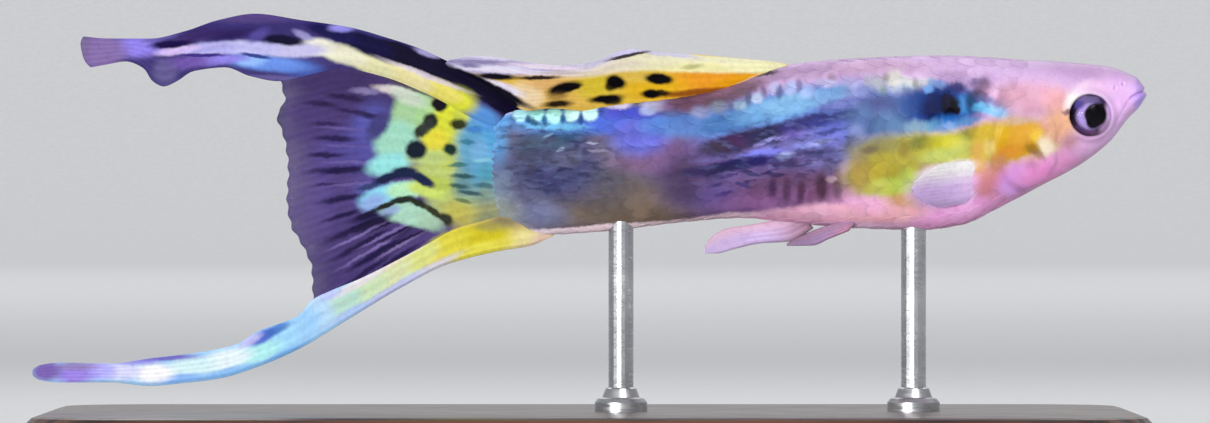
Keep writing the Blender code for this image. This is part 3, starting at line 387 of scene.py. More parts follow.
WEB_MARKS = (
    (2984, -56, 280, 560, 0, 10, "54447e", 100), (3440, -96, 104, 520, 3, 50, "584a80", 95),
    (3512, -116, 48, 480, 3, 60, "3e325c", 95), (3204, 252, 240, 120, 14, 50, "3e3060", 95),
    (3264, 132, 160, 104, 6, 50, "4a3a70", 85), (3096, 60, 88, 128, 10, 50, "5a5cb0", 90),
    (3184, 4, 104, 80, 0, 60, "524a94", 70), (3096, -180, 72, 64, 0, 60, "5c62b4", 70),
    (3224, -416, 240, 144, -30, 50, "4c3e74", 80), (3384, -256, 96, 200, -8, 60, "66568e", 70),
    # Dark spindles between the rays
    (3200, 216, 72, 11, 8, 60, "241842", 90), (3296, 188, 64, 11, 5, 60, "241842", 85),
    (3088, 136, 80, 12, 14, 60, "241842", 90), (3184, 160, 56, 8, 8, 60, "2a1e4c", 80),
    (3284, 108, 48, 9, 3, 60, "2a1e4c", 85), (3248, 50, 76, 12, 2, 60, "241a48", 95),
    (3284, -16, 68, 10, 0, 60, "241a48", 95), (3220, -76, 120, 14, -3, 60, "1e1642", 98),
    (3276, -136, 48, 7, -4, 60, "2a1e4c", 85), (3220, -192, 88, 12, -10, 60, "1e1642", 95),
    (3208, -256, 80, 10, -17, 60, "241a48", 95), (3096, -252, 88, 18, -20, 50, "1a1240", 98),
    (3184, -320, 112, 12, -24, 60, "1e1642", 95), (3052, -292, 88, 14, -24, 60, "161038", 98),
    (3136, -372, 120, 12, -28, 60, "1e1642", 95), (2984, -324, 96, 12, -26, 60, "161038", 95),
    (3072, -408, 128, 12, -31, 60, "1a1240", 95), (2956, -356, 88, 10, -30, 60, "161038", 95),
    (3120, -484, 120, 10, -34, 60, "241a48", 90), (2992, -428, 96, 10, -33, 60, "1e1642", 90),
    # Pale rays below
    (3152, -340, 120, 6, -26, 60, "8674b4", 80), (3032, -332, 120, 6, -26, 60, "8674b4", 80),
    (3096, -396, 136, 6, -30, 60, "8674b4", 80), (2984, -380, 96, 6, -30, 60, "9884bc", 70),
    (3184, -44, 96, 6, 0, 60, "7464a4", 70), (3176, -132, 96, 6, -6, 60, "7464a4", 70),
    (3204, 88, 96, 6, 4, 60, "6a5c9c", 70), (3204, 20, 96, 6, 2, 60, "6a5c9c", 70),
    # Blue root
    (2664, 4, 112, 280, -3, 30, "6cb0e0", 100), (2648, 132, 80, 80, 0, 50, "5890e0", 95),
    (2656, 36, 64, 56, 0, 50, "52a8dc", 90), (2696, -20, 48, 72, 0, 50, "4cb4d4", 90),
    (2680, -100, 80, 64, 0, 50, "4c9cac", 90), (2704, -172, 80, 48, 16, 50, "6a9c94", 90),
    (2640, -196, 72, 64, 0, 60, "8a9c84", 80), (2624, -252, 72, 48, 0, 60, "a8a468", 80),
    # Yellow and lime
    (2800, -28, 96, 232, -3, 30, "tail_yellow", 100), (2784, -188, 96, 80, 24, 40, "b4c47c", 95),
    (2724, -260, 96, 48, 24, 60, "ccc050", 80), (2636, -272, 52, 32, 0, 60, "8a9472", 80),
    (2824, 124, 104, 80, -30, 40, "dce03c", 95), (2940, 156, 72, 104, 22, 30, "a8d29c", 100),
    (3000, 36, 88, 88, 34, 30, "tail_mint", 100), (3028, -52, 88, 44, -12, 35, "9ae8e4", 100),
    (2884, 156, 40, 56, 10, 50, "a8d890", 80), (3024, -176, 124, 44, -14, 25, "90e0f4", 100),
    (2968, -156, 72, 32, -6, 40, "c0f4c0", 95), (2872, -156, 80, 32, 14, 40, "d0e470", 100),
    (2948, -248, 120, 48, 10, 25, "b0dec4", 100), (2864, -284, 56, 32, 26, 40, "acd0b0", 80),
    (3012, 244, 72, 16, 10, 50, "e4d8d8", 95), (2952, 216, 80, 28, 24, 50, "ccd8c4", 90),
    (2872, -28, 80, 36, 0, 50, "bcd080", 90), (2840, 44, 52, 36, -20, 50, "ecdc40", 90),
    (2848, -84, 96, 24, 6, 50, "c0d278", 90), (2816, -132, 72, 24, 16, 50, "bccc54", 80),
    (2704, -4, 56, 144, 0, 60, "62a6cc", 95), (2732, -132, 36, 52, 0, 70, "5c8c98", 85),
    (2664, 4, 36, 48, 0, 60, "7cb4e0", 80), (3072, 100, 64, 36, -56, 40, "44407c", 100),
    (3092, -208, 52, 32, -20, 50, "94b2e8", 95), (3024, -240, 40, 20, -20, 50, "94acd8", 90),
    (3120, 240, 56, 12, 4, 60, "8c82b0", 85), (2752, 204, 68, 88, -6, 30, "dfe438", 100),
    (2800, 268, 88, 32, 26, 50, "e8dc78", 95), (2744, 140, 28, 32, 0, 50, "c4cc50", 80),
    (2936, 252, 112, 10, 20, 50, "524250", 80),
    # Dark dashes between yellow and blue
    (2752, -56, 36, 9, 0, 50, "2c6c68", 85), (2732, -100, 44, 10, 4, 50, "2c5458", 90),
    (2748, -140, 36, 9, 8, 50, "2c5450", 85), (2704, -168, 48, 10, 12, 50, "2c4c58", 85),
    (2732, -200, 36, 8, 16, 50, "486044", 70), (2712, 36, 32, 10, 0, 50, "2c7088", 80),
    (2688, 84, 32, 12, 0, 50, "3c78c4", 80), (2656, -36, 40, 10, -4, 50, "8cd0dc", 70),
    (2648, -140, 40, 10, 6, 50, "34646c", 70),
    # Spots
    (2824, 188, 34, 30, 20, 30, "14101a", 100), (2860, 120, 32, 28, -40, 35, "22241e", 100),
    (2900, 80, 32, 24, -40, 40, "262820", 98), (2876, 96, 40, 24, -42, 45, "343a38", 90),
    (2920, 4, 42, 40, 0, 28, "16202e", 100), (2748, 108, 34, 20, 6, 40, "343a1c", 100),
    (2784, 8, 28, 24, 30, 40, "1c342c", 100),
    # Two waves
    (3108, -142, 48, 11, -14, 40, "34406c", 90), (3036, -108, 56, 17, -18, 35, "1a2446", 100),
    (2968, -86, 52, 22, 2, 35, "1a2446", 100), (2896, -114, 56, 20, 28, 35, "1c2648", 100),
    (3112, -252, 40, 11, -24, 40, "1c1838", 100), (3044, -218, 48, 12, -22, 40, "242c26", 100),
    (2976, -194, 52, 14, -8, 40, "242c26", 100), (2912, -208, 48, 14, 26, 40, "2a3024", 100),
    (2848, -246, 48, 14, 34, 40, "3a3c24", 100), (2800, -272, 32, 20, 40, 45, "34382a", 100),
    (3096, -288, 80, 18, -22, 50, "1c1438", 95), (2984, -336, 80, 12, -16, 50, "2c2450", 60),
    (2804, -368, 120, 36, -28, 40, "d8d258", 90),
)

DORSAL_MARKS = (
    (2344, 236, 184, 80, 0, 50, "e4b85c", 90), (1764, 276, 224, 56, -8, 50, "f2a028", 100),
    (1644, 272, 112, 32, -18, 60, "e8a010", 95), (1964, 252, 120, 48, 0, 60, "e8b81c", 90),
    (2204, 260, 80, 56, 0, 60, "d8c030", 90), (2024, 300, 88, 24, 0, 60, "e0c058", 70),
    (1784, 236, 184, 14, -5, 50, "8c4410", 90), (1616, 268, 80, 10, -26, 50, "f4d4a4", 95),
    (1824, 350, 384, 35, 2, 25, "f4eeb0", 100), (1564, 340, 136, 28, 4, 30, "f8f4be", 100),
    (2024, 356, 200, 34, -4, 35, "ece6bc", 100), (1824, 368, 280, 12, 2, 50, "f0ecc8", 80),
    (2184, 332, 176, 28, -8, 45, "e8dcc4", 95), (2284, 348, 136, 24, -4, 45, "dcd4e4", 95),
    (2480, 220, 72, 52, 10, 40, "ecd2a4", 100), (2404, 268, 80, 24, 0, 60, "e0b070", 80),
    (2584, 344, 304, 44, 1, 30, "b9b2d4", 100), (2712, 356, 200, 8, 2, 50, "8c84ac", 80),
    (2584, 372, 200, 8, 4, 50, "dcd8ec", 90), (2664, 332, 224, 8, 1, 50, "e4e0f4", 90),
    (2704, 340, 40, 10, 6, 60, "6e6a98", 85), (2504, 316, 200, 9, 3, 50, "e8e0f0", 90),
    (2544, 348, 200, 6, 4, 50, "8880a8", 80), (2404, 336, 160, 10, 4, 50, "ecdcec", 90),
    (2344, 312, 80, 8, 0, 50, "c8b8b8", 80), (2592, 256, 104, 22, 18, 40, "e4dcec", 100),
    (2328, 252, 68, 22, -15, 35, "060408", 100), (2288, 256, 32, 12, -12, 40, "060408", 100),
    (2352, 188, 56, 14, -4, 50, "0c0808", 98), (2352, 220, 40, 16, -8, 60, "584220", 60),
    (2120, 276, 40, 26, 14, 32, "060408", 100), (2140, 260, 24, 20, 0, 40, "060408", 95),
    (2160, 208, 68, 16, -6, 40, "060408", 100), (2136, 200, 40, 16, 0, 40, "060408", 95),
    (1948, 288, 56, 22, 4, 30, "060408", 100), (1980, 228, 40, 18, 2, 35, "060408", 100),
    (1936, 232, 32, 12, 0, 50, "0a0608", 95), (1816, 336, 36, 10, -8, 60, "b0b070", 70),
    (2600, 296, 80, 13, 3, 40, "0a0616", 100), (2432, 292, 80, 8, -2, 50, "100a18", 98),
    (2636, 260, 200, 20, 26, 30, "0c0818", 100), (2064, 396, 152, 13, -9, 40, "d4ccec", 100),
    (1928, 392, 128, 12, 7, 40, "d0cce4", 100), (2096, 376, 120, 7, -12, 40, "181424", 95),
    (2184, 360, 64, 12, -22, 50, "c8c4dc", 90), (2540, 190, 34, 18, 26, 35, "0e0a1c", 100),
    (2568, 210, 32, 14, 32, 35, "0e0a1c", 100),
)

UPPER_SWORD_MARKS = (
    # Film above the bands
    (3584, 504, 320, 64, 0, 50, "3a3070", 100), (3584, 532, 176, 20, 0, 60, "5c4a86", 70),
    (3044, 436, 136, 12, 22, 50, "453f80", 100),
    # Black band
    (2556, 188, 64, 44, 32, 30, "sword_black", 100), (2672, 256, 104, 42, 30, 25, "sword_black", 100),
    (2824, 332, 136, 44, 24, 22, "sword_black", 100), (2984, 384, 136, 46, 22, 22, "sword_black", 100),
    (3124, 424, 120, 44, 19, 25, "120e3c", 100), (3256, 472, 104, 26, 17, 35, "18144c", 100),
    # The two pale marks a8a0d4 and 948ee4 are painted glints along the sword's top edge
    (2876, 392, 48, 13, 20, 50, "a8a0d4", 95), (3220, 492, 48, 16, 0, 50, "948ee4", 95),
    # Cream and yellow band
    (2648, 128, 72, 44, 30, 50, "5a98dc", 100), (2752, 204, 72, 48, 22, 50, "dee23c", 100),
    (2604, 204, 64, 30, 32, 30, "sword_black", 100), (2824, 244, 96, 40, 22, 30, "e8dc68", 100),
    (2964, 292, 120, 42, 22, 25, "e9dfa0", 100), (3104, 344, 112, 34, 22, 25, "e2dfac", 100),
    (3216, 388, 104, 36, 16, 30, "e8e6c8", 100), (3312, 416, 72, 34, 6, 35, "ecead6", 100),
    (2884, 304, 176, 10, 21, 50, "e8dce6", 80),
    # White band towards the tip
    (3424, 404, 136, 30, 0, 35, "ccc8ee", 100), (3604, 412, 136, 30, 0, 35, "c2c0f0", 100),
    (3764, 408, 120, 26, -4, 35, "b4b0ea", 100), (3884, 404, 88, 18, -8, 40, "dcc4f6", 95),
    (4044, 416, 96, 40, 0, 50, "9686ee", 100), (4184, 396, 104, 68, 0, 40, "8a72ac", 100),
    (4248, 400, 24, 64, 10, 50, "7a6a94", 80),
    # Streaks below it
    (3384, 332, 96, 36, 10, 50, "4c62b4", 95), (3524, 352, 168, 30, 6, 40, "6c94e8", 100),
    (3584, 360, 56, 20, 0, 50, "9cc4fc", 90), (3464, 292, 120, 10, 4, 50, "8c84c0", 35),
    (3724, 364, 128, 20, -4, 40, "9486e8", 95), (3844, 352, 96, 26, -6, 50, "7056a6", 95),
    (3924, 316, 44, 52, -25, 50, "686094", 90), (3564, 382, 60, 8, 10, 40, "283880", 95),
    (3784, 384, 96, 7, 0, 40, "38267c", 95),
    # Dark gaps above it, and one painted glint (9c98cc)
    (3452, 444, 84, 20, 6, 35, "0e0a2c", 100), (3896, 428, 88, 15, -4, 40, "1a0e44", 100),
    (3664, 468, 88, 18, -8, 50, "281850", 80), (3552, 464, 48, 20, -30, 50, "584e9e", 70),
    # The pale mark 9c98cc is a painted glint
    (3372, 464, 40, 14, 25, 50, "9c98cc", 90), (3784, 468, 88, 24, -10, 50, "38245f", 70),
    (3944, 452, 72, 10, -12, 60, "6860a8", 70),
)

LOWER_SWORD_MARKS = (
    # Yellow root
    (2584, -340, 360, 120, -10, 30, "d4c074", 100), (2444, -360, 80, 32, -12, 40, "e0c4aa", 100),
    (2536, -356, 88, 40, -12, 40, "e6da92", 100), (2684, -356, 152, 64, -12, 35, "sword_yellow", 100),
    (2664, -396, 128, 26, -14, 40, "e4da50", 100), (2804, -380, 96, 56, -30, 40, "dad044", 100),
    (2864, -428, 56, 32, -30, 50, "e0cc58", 80), (2564, -280, 64, 24, 12, 70, "80745c", 85),
    (2624, -300, 56, 20, 0, 70, "948c50", 75),
    # Cream part
    (2924, -428, 108, 52, -32, 35, "d8dc80", 100), (3032, -496, 108, 52, -34, 35, "d6dca8", 100),
    (3124, -556, 100, 52, -32, 35, "c8deb2", 100), (3216, -608, 88, 52, -30, 40, "b4dac8", 100),
    (2964, -412, 144, 14, -31, 50, "ecdcc2", 90), (3144, -524, 128, 16, -30, 50, "e6dee4", 90),
    (3296, -580, 72, 20, -15, 50, "bec6fa", 95), (2864, -472, 128, 16, -28, 50, "d8d4e2", 85),
    (3024, -560, 144, 16, -31, 50, "c2c4ea", 90), (3184, -648, 104, 16, -28, 50, "b0c8f4", 90),
    # Blue part
    (3312, -648, 60, 60, -30, 50, "b8daf4", 100), (3384, -700, 88, 52, -32, 40, "9ed0f8", 100),
    (3484, -764, 104, 52, -32, 40, "a2dafa", 100), (3552, -808, 96, 36, -22, 50, "b2f2f0", 100),
    (3464, -824, 128, 16, -28, 50, "74b0ec", 80), (3536, -744, 64, 24, -30, 40, "4c60c8", 95),
    (3476, -712, 52, 18, -28, 50, "4274c4", 85), (3584, -760, 52, 16, -32, 50, "c6c6f6", 90),
    (3684, -836, 104, 40, -14, 45, "e8f8fc", 100), (3824, -868, 96, 40, -6, 45, "d8f6f8", 100),
    (3872, -912, 112, 18, -6, 50, "80b2f6", 85), (3664, -884, 128, 18, -14, 50, "84bcf4", 80),
    (3972, -888, 80, 36, 0, 45, "ffffff", 100), (4096, -880, 72, 36, 0, 50, "dcdeff", 100),
    (4184, -876, 60, 36, 0, 50, "b8b2ff", 100), (4284, -892, 76, 40, 0, 50, "a088e6", 100),
    (4284, -860, 88, 16, 0, 50, "9480b4", 80), (4396, -880, 60, 40, 0, 50, "7c64ae", 100),
    (3944, -828, 144, 13, -3, 50, "6c5cba", 90), (4044, -844, 96, 12, 0, 50, "968ce4", 70),
)

EYE_MARKS = (
    (244, 210, 64, 24, 4, 40, "7a6a9c", 95), (232, 226, 48, 9, 4, 50, "2e2058", 80),
    (176, 204, 24, 16, 40, 50, "3c2c66", 90), (310, 136, 16, 40, 0, 40, "1a0c26", 95),
    (300, 88, 20, 20, 40, 50, "30163c", 90), (234, 136, 52, 52, 0, 22, "b8a0e4", 100),
    (276, 184, 20, 16, -40, 50, "5a4ea4", 70), (272, 84, 24, 12, 30, 50, "6c4c84", 60),
    (144, 144, 30, 60, 0, 40, "ecc6fc", 100), (168, 92, 32, 20, -40, 50, "d0a4d6", 95),
    (228, 72, 32, 10, 0, 60, "7a4c80", 80), (211, 143, 45, 45, 0, 14, "eye_black", 100),
    (220, 114, 29, 26, -30, 25, "06030c", 100),
)


def linear(hex_colour):
    """Linear colour of a hex colour as a painter would mix it on a screen."""
    parts = [int(hex_colour[i:i + 2], 16) / 255 for i in (0, 2, 4)]
    return tuple(c / 12.92 if c <= 0.04045 else ((c + 0.055) / 1.055) ** 2.4 for c in parts)


def swatch(name, about, hex_colour):
    """A colour on the panel."""
    return FloatVectorProperty(name=name, description=about, subtype="COLOR", size=3, min=0.0, max=1.0,
                               default=linear(hex_colour))


def length(name, about, default, low, high):
    """A length that is given in mm and kept in metres."""
    return FloatProperty(name=name, description=about, default=default * MM, min=low * MM, max=high * MM,
                         unit="LENGTH", precision=6)


def factor(name, about, default, low, high):
    return FloatProperty(name=name, description=about, default=default, min=low, max=high, subtype="FACTOR")


def power(name, about, default, high):
    return FloatProperty(name=name, description=about, default=default, min=0.0, max=high, unit="POWER")


class GuppyColours(bpy.types.PropertyGroup):
    """The main colours. Each one's name is the name that the markings use."""

    back_lilac: swatch("Back", "Lilac pink of the back and the top of the head", "d2b3da")
    belly_pink: swatch("Belly", "Pink of the belly and throat", "dda3cc")
    cheek_gold: swatch("Cheek gold", "Gold of the gill cover", "c49a20")
    chest_gold: swatch("Chest gold", "Greenish gold of the chest", "bcb83c")
    shoulder_blue: swatch("Shoulder blue", "Deep blue round the black shoulder spot", "22468e")
    stripe_blue: swatch("Stripe blue", "Light blue of the long stripe", "689ac8")
    stalk_grey: swatch("Stalk grey", "Ground colour of the tail stalk", "68606e")
    dorsal_gold: swatch("Dorsal gold", "Ground colour of the dorsal fin", "e0b83c")
    web_violet: swatch("Web violet", "Dusky membrane between the swords", "58488a")
    tail_mint: swatch("Tail mint", "Mint crescent of the tail", "a2dcc2")
    tail_yellow: swatch("Tail yellow", "Lime yellow at the root of the tail", "c8d45c")
    sword_black: swatch("Sword black", "Black band of the upper sword", "120c2a")
    sword_yellow: swatch("Sword yellow", "Yellow at the root of the lower sword", "d0c228")


class GuppySkin(bpy.types.PropertyGroup):
    coat_depth: length("Coat depth", "How far the skin lies under the scales' outer face", 0.05, 0.0, 0.2)
    relief: factor("Head relief", "Strength of the folds of the head, 1 as in life", 1.0, 0.0, 2.0)
    scale_overlap: factor("Scale overlap", "Length of a scale over the pitch of the rows", 1.5, 1.0, 2.0)


class GuppyFins(bpy.types.PropertyGroup):
    thickness: length("Membrane", "Thickness of a fin at its root", 0.17, 0.05, 0.4)
    ray_height: length("Ray height", "How far a fin ray stands over the membrane", 0.008, 0.0, 0.1)
    web_rays: IntProperty(name="Web rays", description="Number of rays in the tail's web", default=15, min=4,
                          max=30)


class GuppyStand(bpy.types.PropertyGroup):
    wood_dark: swatch("Dark grain", "Dark lines of the wood", "2c1a12")
    wood_light: swatch("Light grain", "Light lines of the wood", "5e3c26")
    collar_radius: length("Collar radius", "Radius of the turned collar at a rod's foot", 1.05, 0.6, 3.0)


class GuppyStage(bpy.types.PropertyGroup):
    distance: length("Camera distance", "From the camera to the fish", 350, 50, 2000)
    key: power("Key light", "Power of the soft light over the fish", 0.33, 10.0)
    fill: power("Fill light", "Power of the light from the camera's side", 0.52, 10.0)
    backdrop: power("Backdrop light", "Power of the light over the backdrop", 10.0, 50.0)
    surround: factor("Surround", "Brightness of the pale surroundings", 0.41, 0.0, 5.0)


def tone(name):
    """A colour by its name, from the panel or the palette, or else by its hex."""
    scene = bpy.context.scene
    for group in (scene.guppy_colours, scene.guppy_stand):
        if hasattr(group, name):
            return (*getattr(group, name), 1.0)
    return (*linear(PALETTE.get(name, name)), 1.0)


# Curves and surfaces


def spline(points):
    """A smooth function through (at, value) stations, with no overshoot between them."""
    xs, ys = zip(*points)
    slopes = [(b - a) / (xb - xa) for a, b, xa, xb in zip(ys, ys[1:], xs, xs[1:])]
    tangents = [slopes[0]]
    for before, after in zip(slopes, slopes[1:]):
        tangents.append(0.0 if before * after <= 0 else 2 * before * after / (before + after))
    tangents.append(slopes[-1])

    def value(x):
        x = min(max(x, xs[0]), xs[-1])
        i = min(bisect_right(xs, x), len(xs) - 1) - 1
        run = xs[i + 1] - xs[i]
        t = (x - xs[i]) / run
        return (
            (1 + 2 * t) * (1 - t) ** 2 * ys[i]
            + t * (1 - t) ** 2 * run * tangents[i]
            + t * t * (3 - 2 * t) * ys[i + 1]
            + t * t * (t - 1) * run * tangents[i + 1]
        )

    return value


def path(points):
    """A smooth curve through (back, up) points, as a function of its share from 0 to 1."""
    along = [0.0]
    for a, b in zip(points, points[1:]):
        along.append(along[-1] + math.dist(a, b))
    backs = spline([(d / along[-1], p[0]) for d, p in zip(along, points)])
    ups = spline([(d / along[-1], p[1]) for d, p in zip(along, points)])
    return lambda share: (backs(share), ups(share))


def place(back, up, side=0.0):
    """A point in the model's frame, in metres."""
    return Vector((SNOUT_X - back, side, MIDLINE + up)) * MM


def smooth(x, low, high):
    t = min(1.0, max(0.0, (x - low) / (high - low)))
    return t * t * (3 - 2 * t)


def hump(distance, width):
    return math.exp(-((distance / width) ** 2))


def fold(distance, shape):
    """Height of a fold at a distance from its line. Its shape is its height and its width."""
    return shape[0] * hump(distance, shape[1])


back_line, belly_line = (spline(line) for line in (BACK_LINE, BELLY_LINE))
half_width, widest_level = (spline(line) for line in (HALF_WIDTH, WIDEST_LEVEL))
upper_fullness, lower_fullness = (spline(line) for line in (UPPER_FULLNESS, LOWER_FULLNESS))
scale_front = spline(SCALE_LINE)


def section(back, grow):
    """Everything that body_point needs to know at one distance behind the snout."""
    inside = min(max(back, 0.0), BODY_LENGTH)
    snout = max(0.0, 1 - (back + grow) / SNOUT_ROUND)
    tail = min(1.0, max(0.0, (back + TAIL_ROUND - BODY_LENGTH - grow) / TAIL_ROUND))
    front = math.sqrt(max(0.0, 1 - snout**2))
    level = widest_level(inside)
    tall = front * max(0.0, 1 - tail**3) ** (1 / 3)
    thin = smooth(inside, TAPER_FROM, BODY_LENGTH)
    wide = half_width(inside) * (1 - thin) + (ROOT_HALF_WIDTH - grow) * thin
    return (
        level, wide * front * (1 - tail**8) + grow,
        (back_line(inside) - level) * tall + grow, (level - belly_line(inside)) * tall + grow,
        2 / upper_fullness(inside), 2 / lower_fullness(inside),
    )


def body_point(back, angle, grow, ring=None):
    """(back, up, side) on the body's surface. The angle runs from its left over its back to its right."""
    level, wide, over, under, upper, lower = ring or section(back, grow)
    cos, sin = math.cos(angle), math.sin(angle)
    power_up, reach = (upper, over) if sin >= 0 else (lower, under)
    side = math.copysign(abs(cos) ** power_up, cos) * wide
    return back, level + math.copysign(abs(sin) ** power_up, sin) * reach, side


def tail_sway(back, up):
    """How far the tail leans to the fish's left: a slow bend of the swords with a light fold in the web."""
    past = max(0.0, back - BODY_LENGTH) / (WHOLE_LENGTH - BODY_LENGTH)
    return past**1.5 * 0.9 * math.sin(1.3 * math.pi * past) + past * math.sin(up / 1.5) * 0.12


def dorsal_sway(back, up):
    """The folded dorsal fin leans to the fish's right at its trailing end, which lies beside the tail."""
    return -DORSAL_LEAN * smooth(back, DORSAL_LEAN_FROM, DORSAL_LEAN_FROM + DORSAL_LEAN_RUN)


def strip(top, low, sway):
    """A fin's middle sheet between its top and low edges: shares (across, along) give (back, up, side)."""
    upper, lower = path(top), path(low)

    def point(across, along):
        (b1, u1), (b2, u2) = upper(along), lower(along)
        back, up = b1 + (b2 - b1) * across, u1 + (u2 - u1) * across
        return back, up, sway(back, up)

    return point


def fan(top, low, root, margin, sway):
    """A fin's middle sheet between four edges. Root and margin run downwards."""
    upper, lower, inner, outer = path(top), path(low), path(root), path(margin)

    def point(u, v):
        a, b, c, d = upper(v), lower(v), inner(u), outer(u)
        corners = (inner(0), inner(1), outer(0), outer(1))
        spot = []
        for k in (0, 1):
            near = (1 - u) * corners[0][k] + u * corners[1][k]
            far = (1 - u) * corners[2][k] + u * corners[3][k]
            spot.append((1 - u) * a[k] + u * b[k] + (1 - v) * c[k] + v * d[k] - (1 - v) * near - v * far)
        return spot[0], spot[1], sway(*spot)

    return point


def flank_width(back, up):
    """Half the body's width at a height below its widest level."""
    level, power_down = widest_level(back), lower_fullness(back)
    share = min(0.98, max(0.0, (level - up) / (level - belly_line(back))))
    return half_width(back) * (1 - share**power_down) ** (1 / power_down)


def pectoral(side):
    """The middle sheet of a pectoral fin: a round paddle held out from the flank on one side, by its sign."""
    depth = spline(PECTORAL_DEPTH)
    root_back, root_up = PECTORAL_ROOT
    out, droop = math.radians(PECTORAL_OUTWARD), math.radians(PECTORAL_DROOP)

    def point(across, along):
        share = 2 * across - 1
        whole = PECTORAL_LENGTH * (1 - PECTORAL_ROUNDING * share * share)
        reach = PECTORAL_START + (whole - PECTORAL_START) * along
        down = depth(reach) / 2 * share
        level = reach * math.cos(out)
        spread = flank_width(root_back, root_up - down) - PECTORAL_INSET + reach * math.sin(out)
        return root_back + level, root_up - down - level * math.sin(droop), side * spread

    return point


# Objects


def build(name, bm, finish, replaces=(), sharp=None):
    """Turns a bmesh into a finished piece that rides on the one body. Edges over the angle stay sharp."""
    bmesh.ops.recalc_face_normals(bm, faces=bm.faces)
    for face in bm.faces:
        face.smooth = True
    mesh = bpy.data.meshes.new(name)
    bm.to_mesh(mesh)
    bm.free()
    if sharp:
        mesh.set_sharp_from_angle(angle=math.radians(sharp))
    mesh.materials.append(finish)
    piece = bpy.data.objects.new(name, mesh)
    bpy.context.scene.collection.objects.link(piece)
    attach(piece, "root")
    if replaces:
        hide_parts(*replaces)


def verts_of(geometry):
    return [part for part in geometry if isinstance(part, bmesh.types.BMVert)]


def plate(across, along):
    """A flat plate from -0.5 to 0.5 both ways. Its front at 0 and its back at 1 are joined all round."""
    bm = bmesh.new()
    bmesh.ops.create_grid(bm, x_segments=across, y_segments=along, size=0.5)
    grown = bmesh.ops.extrude_face_region(bm, geom=list(bm.faces))["geom"]
    bmesh.ops.translate(bm, verts=verts_of(grown), vec=(0, 0, 1))
    return bm


def away(spot, line):
    """Distance from a (back, up) spot to a line through (back, up) points."""
    best = 1e9
    for (ax, ay), (bx, by) in zip(line, line[1:]):
        dx, dy = bx - ax, by - ay
        t = min(1.0, max(0.0, ((spot[0] - ax) * dx + (spot[1] - ay) * dy) / (dx * dx + dy * dy)))
        best = min(best, math.hypot(spot[0] - ax - t * dx, spot[1] - ay - t * dy))
    return best


def within(spot, outline):
    """True if a (back, up) spot is inside a closed outline."""
    inside = False
    for (ax, ay), (bx, by) in zip(outline, (*outline[1:], outline[0])):
        if (ay > spot[1]) != (by > spot[1]) and spot[0] < ax + (spot[1] - ay) * (bx - ax) / (by - ay):
            inside = not inside
    return inside


def mouth_relief(back, up):
    """The cleft between two full lips, and the fold behind the corner of the mouth."""
    if back > MOUTH_END:
        return 0.0
    gap = away((back, up), MOUTH_CLEFT)
    fade = 1 - smooth(back, 0.55, 0.85)
    lips_meet = MOUTH_CLEFT[1][1] - 0.40 * back
    lip = LIPS if up > lips_meet else (LOWER_LIP, LIPS[1])
    height = fold(gap, CLEFT) * (0.35 + 0.65 * fade) + fold(gap - 0.15, lip) * fade
    return height + fold(away((back, up), JAW_FOLD), JAW)


def eye_relief(back, up):
    """A round opening for the eyeball, with a raised rim and a faint furrow round it."""
    out = math.dist((back, up), EYE_CENTRE)
    if out > EYE_REACH:
        return 0.0
    socket = EYE_SOCKET * (1 - smooth(out, EYE_OPENING - 0.10, EYE_OPENING + 0.02))
    return fold(out - EYE_OPENING - 0.09, EYE_RIM) + fold(out - EYE_OPENING - 0.33, EYE_FURROW) + socket


def gill_relief(back, up):
    """The gill cover's raised plate with its free rear edge, the slit behind it and the fold of the cheek."""
    if back < GILL_FROM or back > GILL_END:
        return 0.0
    spot = (back, up)
    edge = away(spot, GILL_COVER + GILL_COVER[:1])
    signed = edge if within(spot, GILL_COVER) else -edge
    height = GILL_PLATE * smooth(signed, -0.05, 0.16) + fold(away(spot, CHEEK_FOLD), CHEEK)
    return height + fold(away(spot, GILL_SLIT), SLIT) * smooth(back, 3.6, 4.8)


def head_relief(back, up, side):
    """How far the head's skin stands out or in, in mm. It rises to the scales' level in front of them."""
    beside = smooth(abs(side), 0.25, 0.55)
    height = mouth_relief(back, up) + COAT_STEP * (1 - smooth(back - scale_front(up), -0.1, 1.1))
    if back < GILL_END:
        height += (eye_relief(back, up) + gill_relief(back, up)) * beside
    for at in NOSTRILS:
        gap = math.dist((back, up), at)
        height += (fold(gap - 0.11, NOSTRIL_RIM) + fold(gap, NOSTRIL)) * beside
    pad = math.dist((back, up), (PECTORAL_ROOT[0] - 0.05, PECTORAL_ROOT[1]))
    return height + fold(pad, FIN_PAD) * beside


def skin_bmesh(sizes):
    """The whole skin from one ball, its rings drawn out along the fish and its head modelled in relief."""
    grow = -sizes.coat_depth / MM
    bm = bmesh.new()
    bmesh.ops.create_uvsphere(bm, u_segments=AROUND, v_segments=RINGS, radius=1.0)
    first, last = -grow, BODY_LENGTH + grow
    rings = {}
    for vert in bm.verts:
        count = round(math.acos(max(-1.0, min(1.0, vert.co.z))) / math.pi * RINGS)
        if count not in rings:
            share = count / RINGS
            share -= END_CROWDING * math.sin(2 * math.pi * share) / (2 * math.pi)
            back = first + (last - first) * share * (HEAD_CROWDING + (1 - HEAD_CROWDING) * share)
            rings[count] = back, section(back, grow)
        back, ring = rings[count]
        angle = math.atan2(vert.co.y, vert.co.x)
        if count in (0, RINGS):
            vert.co = place(back, ring[0])
        else:
            vert.co = place(*body_point(back, angle, grow, ring))
    bmesh.ops.recalc_face_normals(bm, faces=bm.faces)
    bm.normal_update()
    moves = []
    for vert in bm.verts:
        back, side, up = SNOUT_X - vert.co.x / MM, vert.co.y / MM, vert.co.z / MM - MIDLINE
        if back < HEAD_END:
            moves.append((vert, vert.normal * head_relief(back, up, side) * sizes.relief * MM))
    for vert, move in moves:
        vert.co += move
    return bm


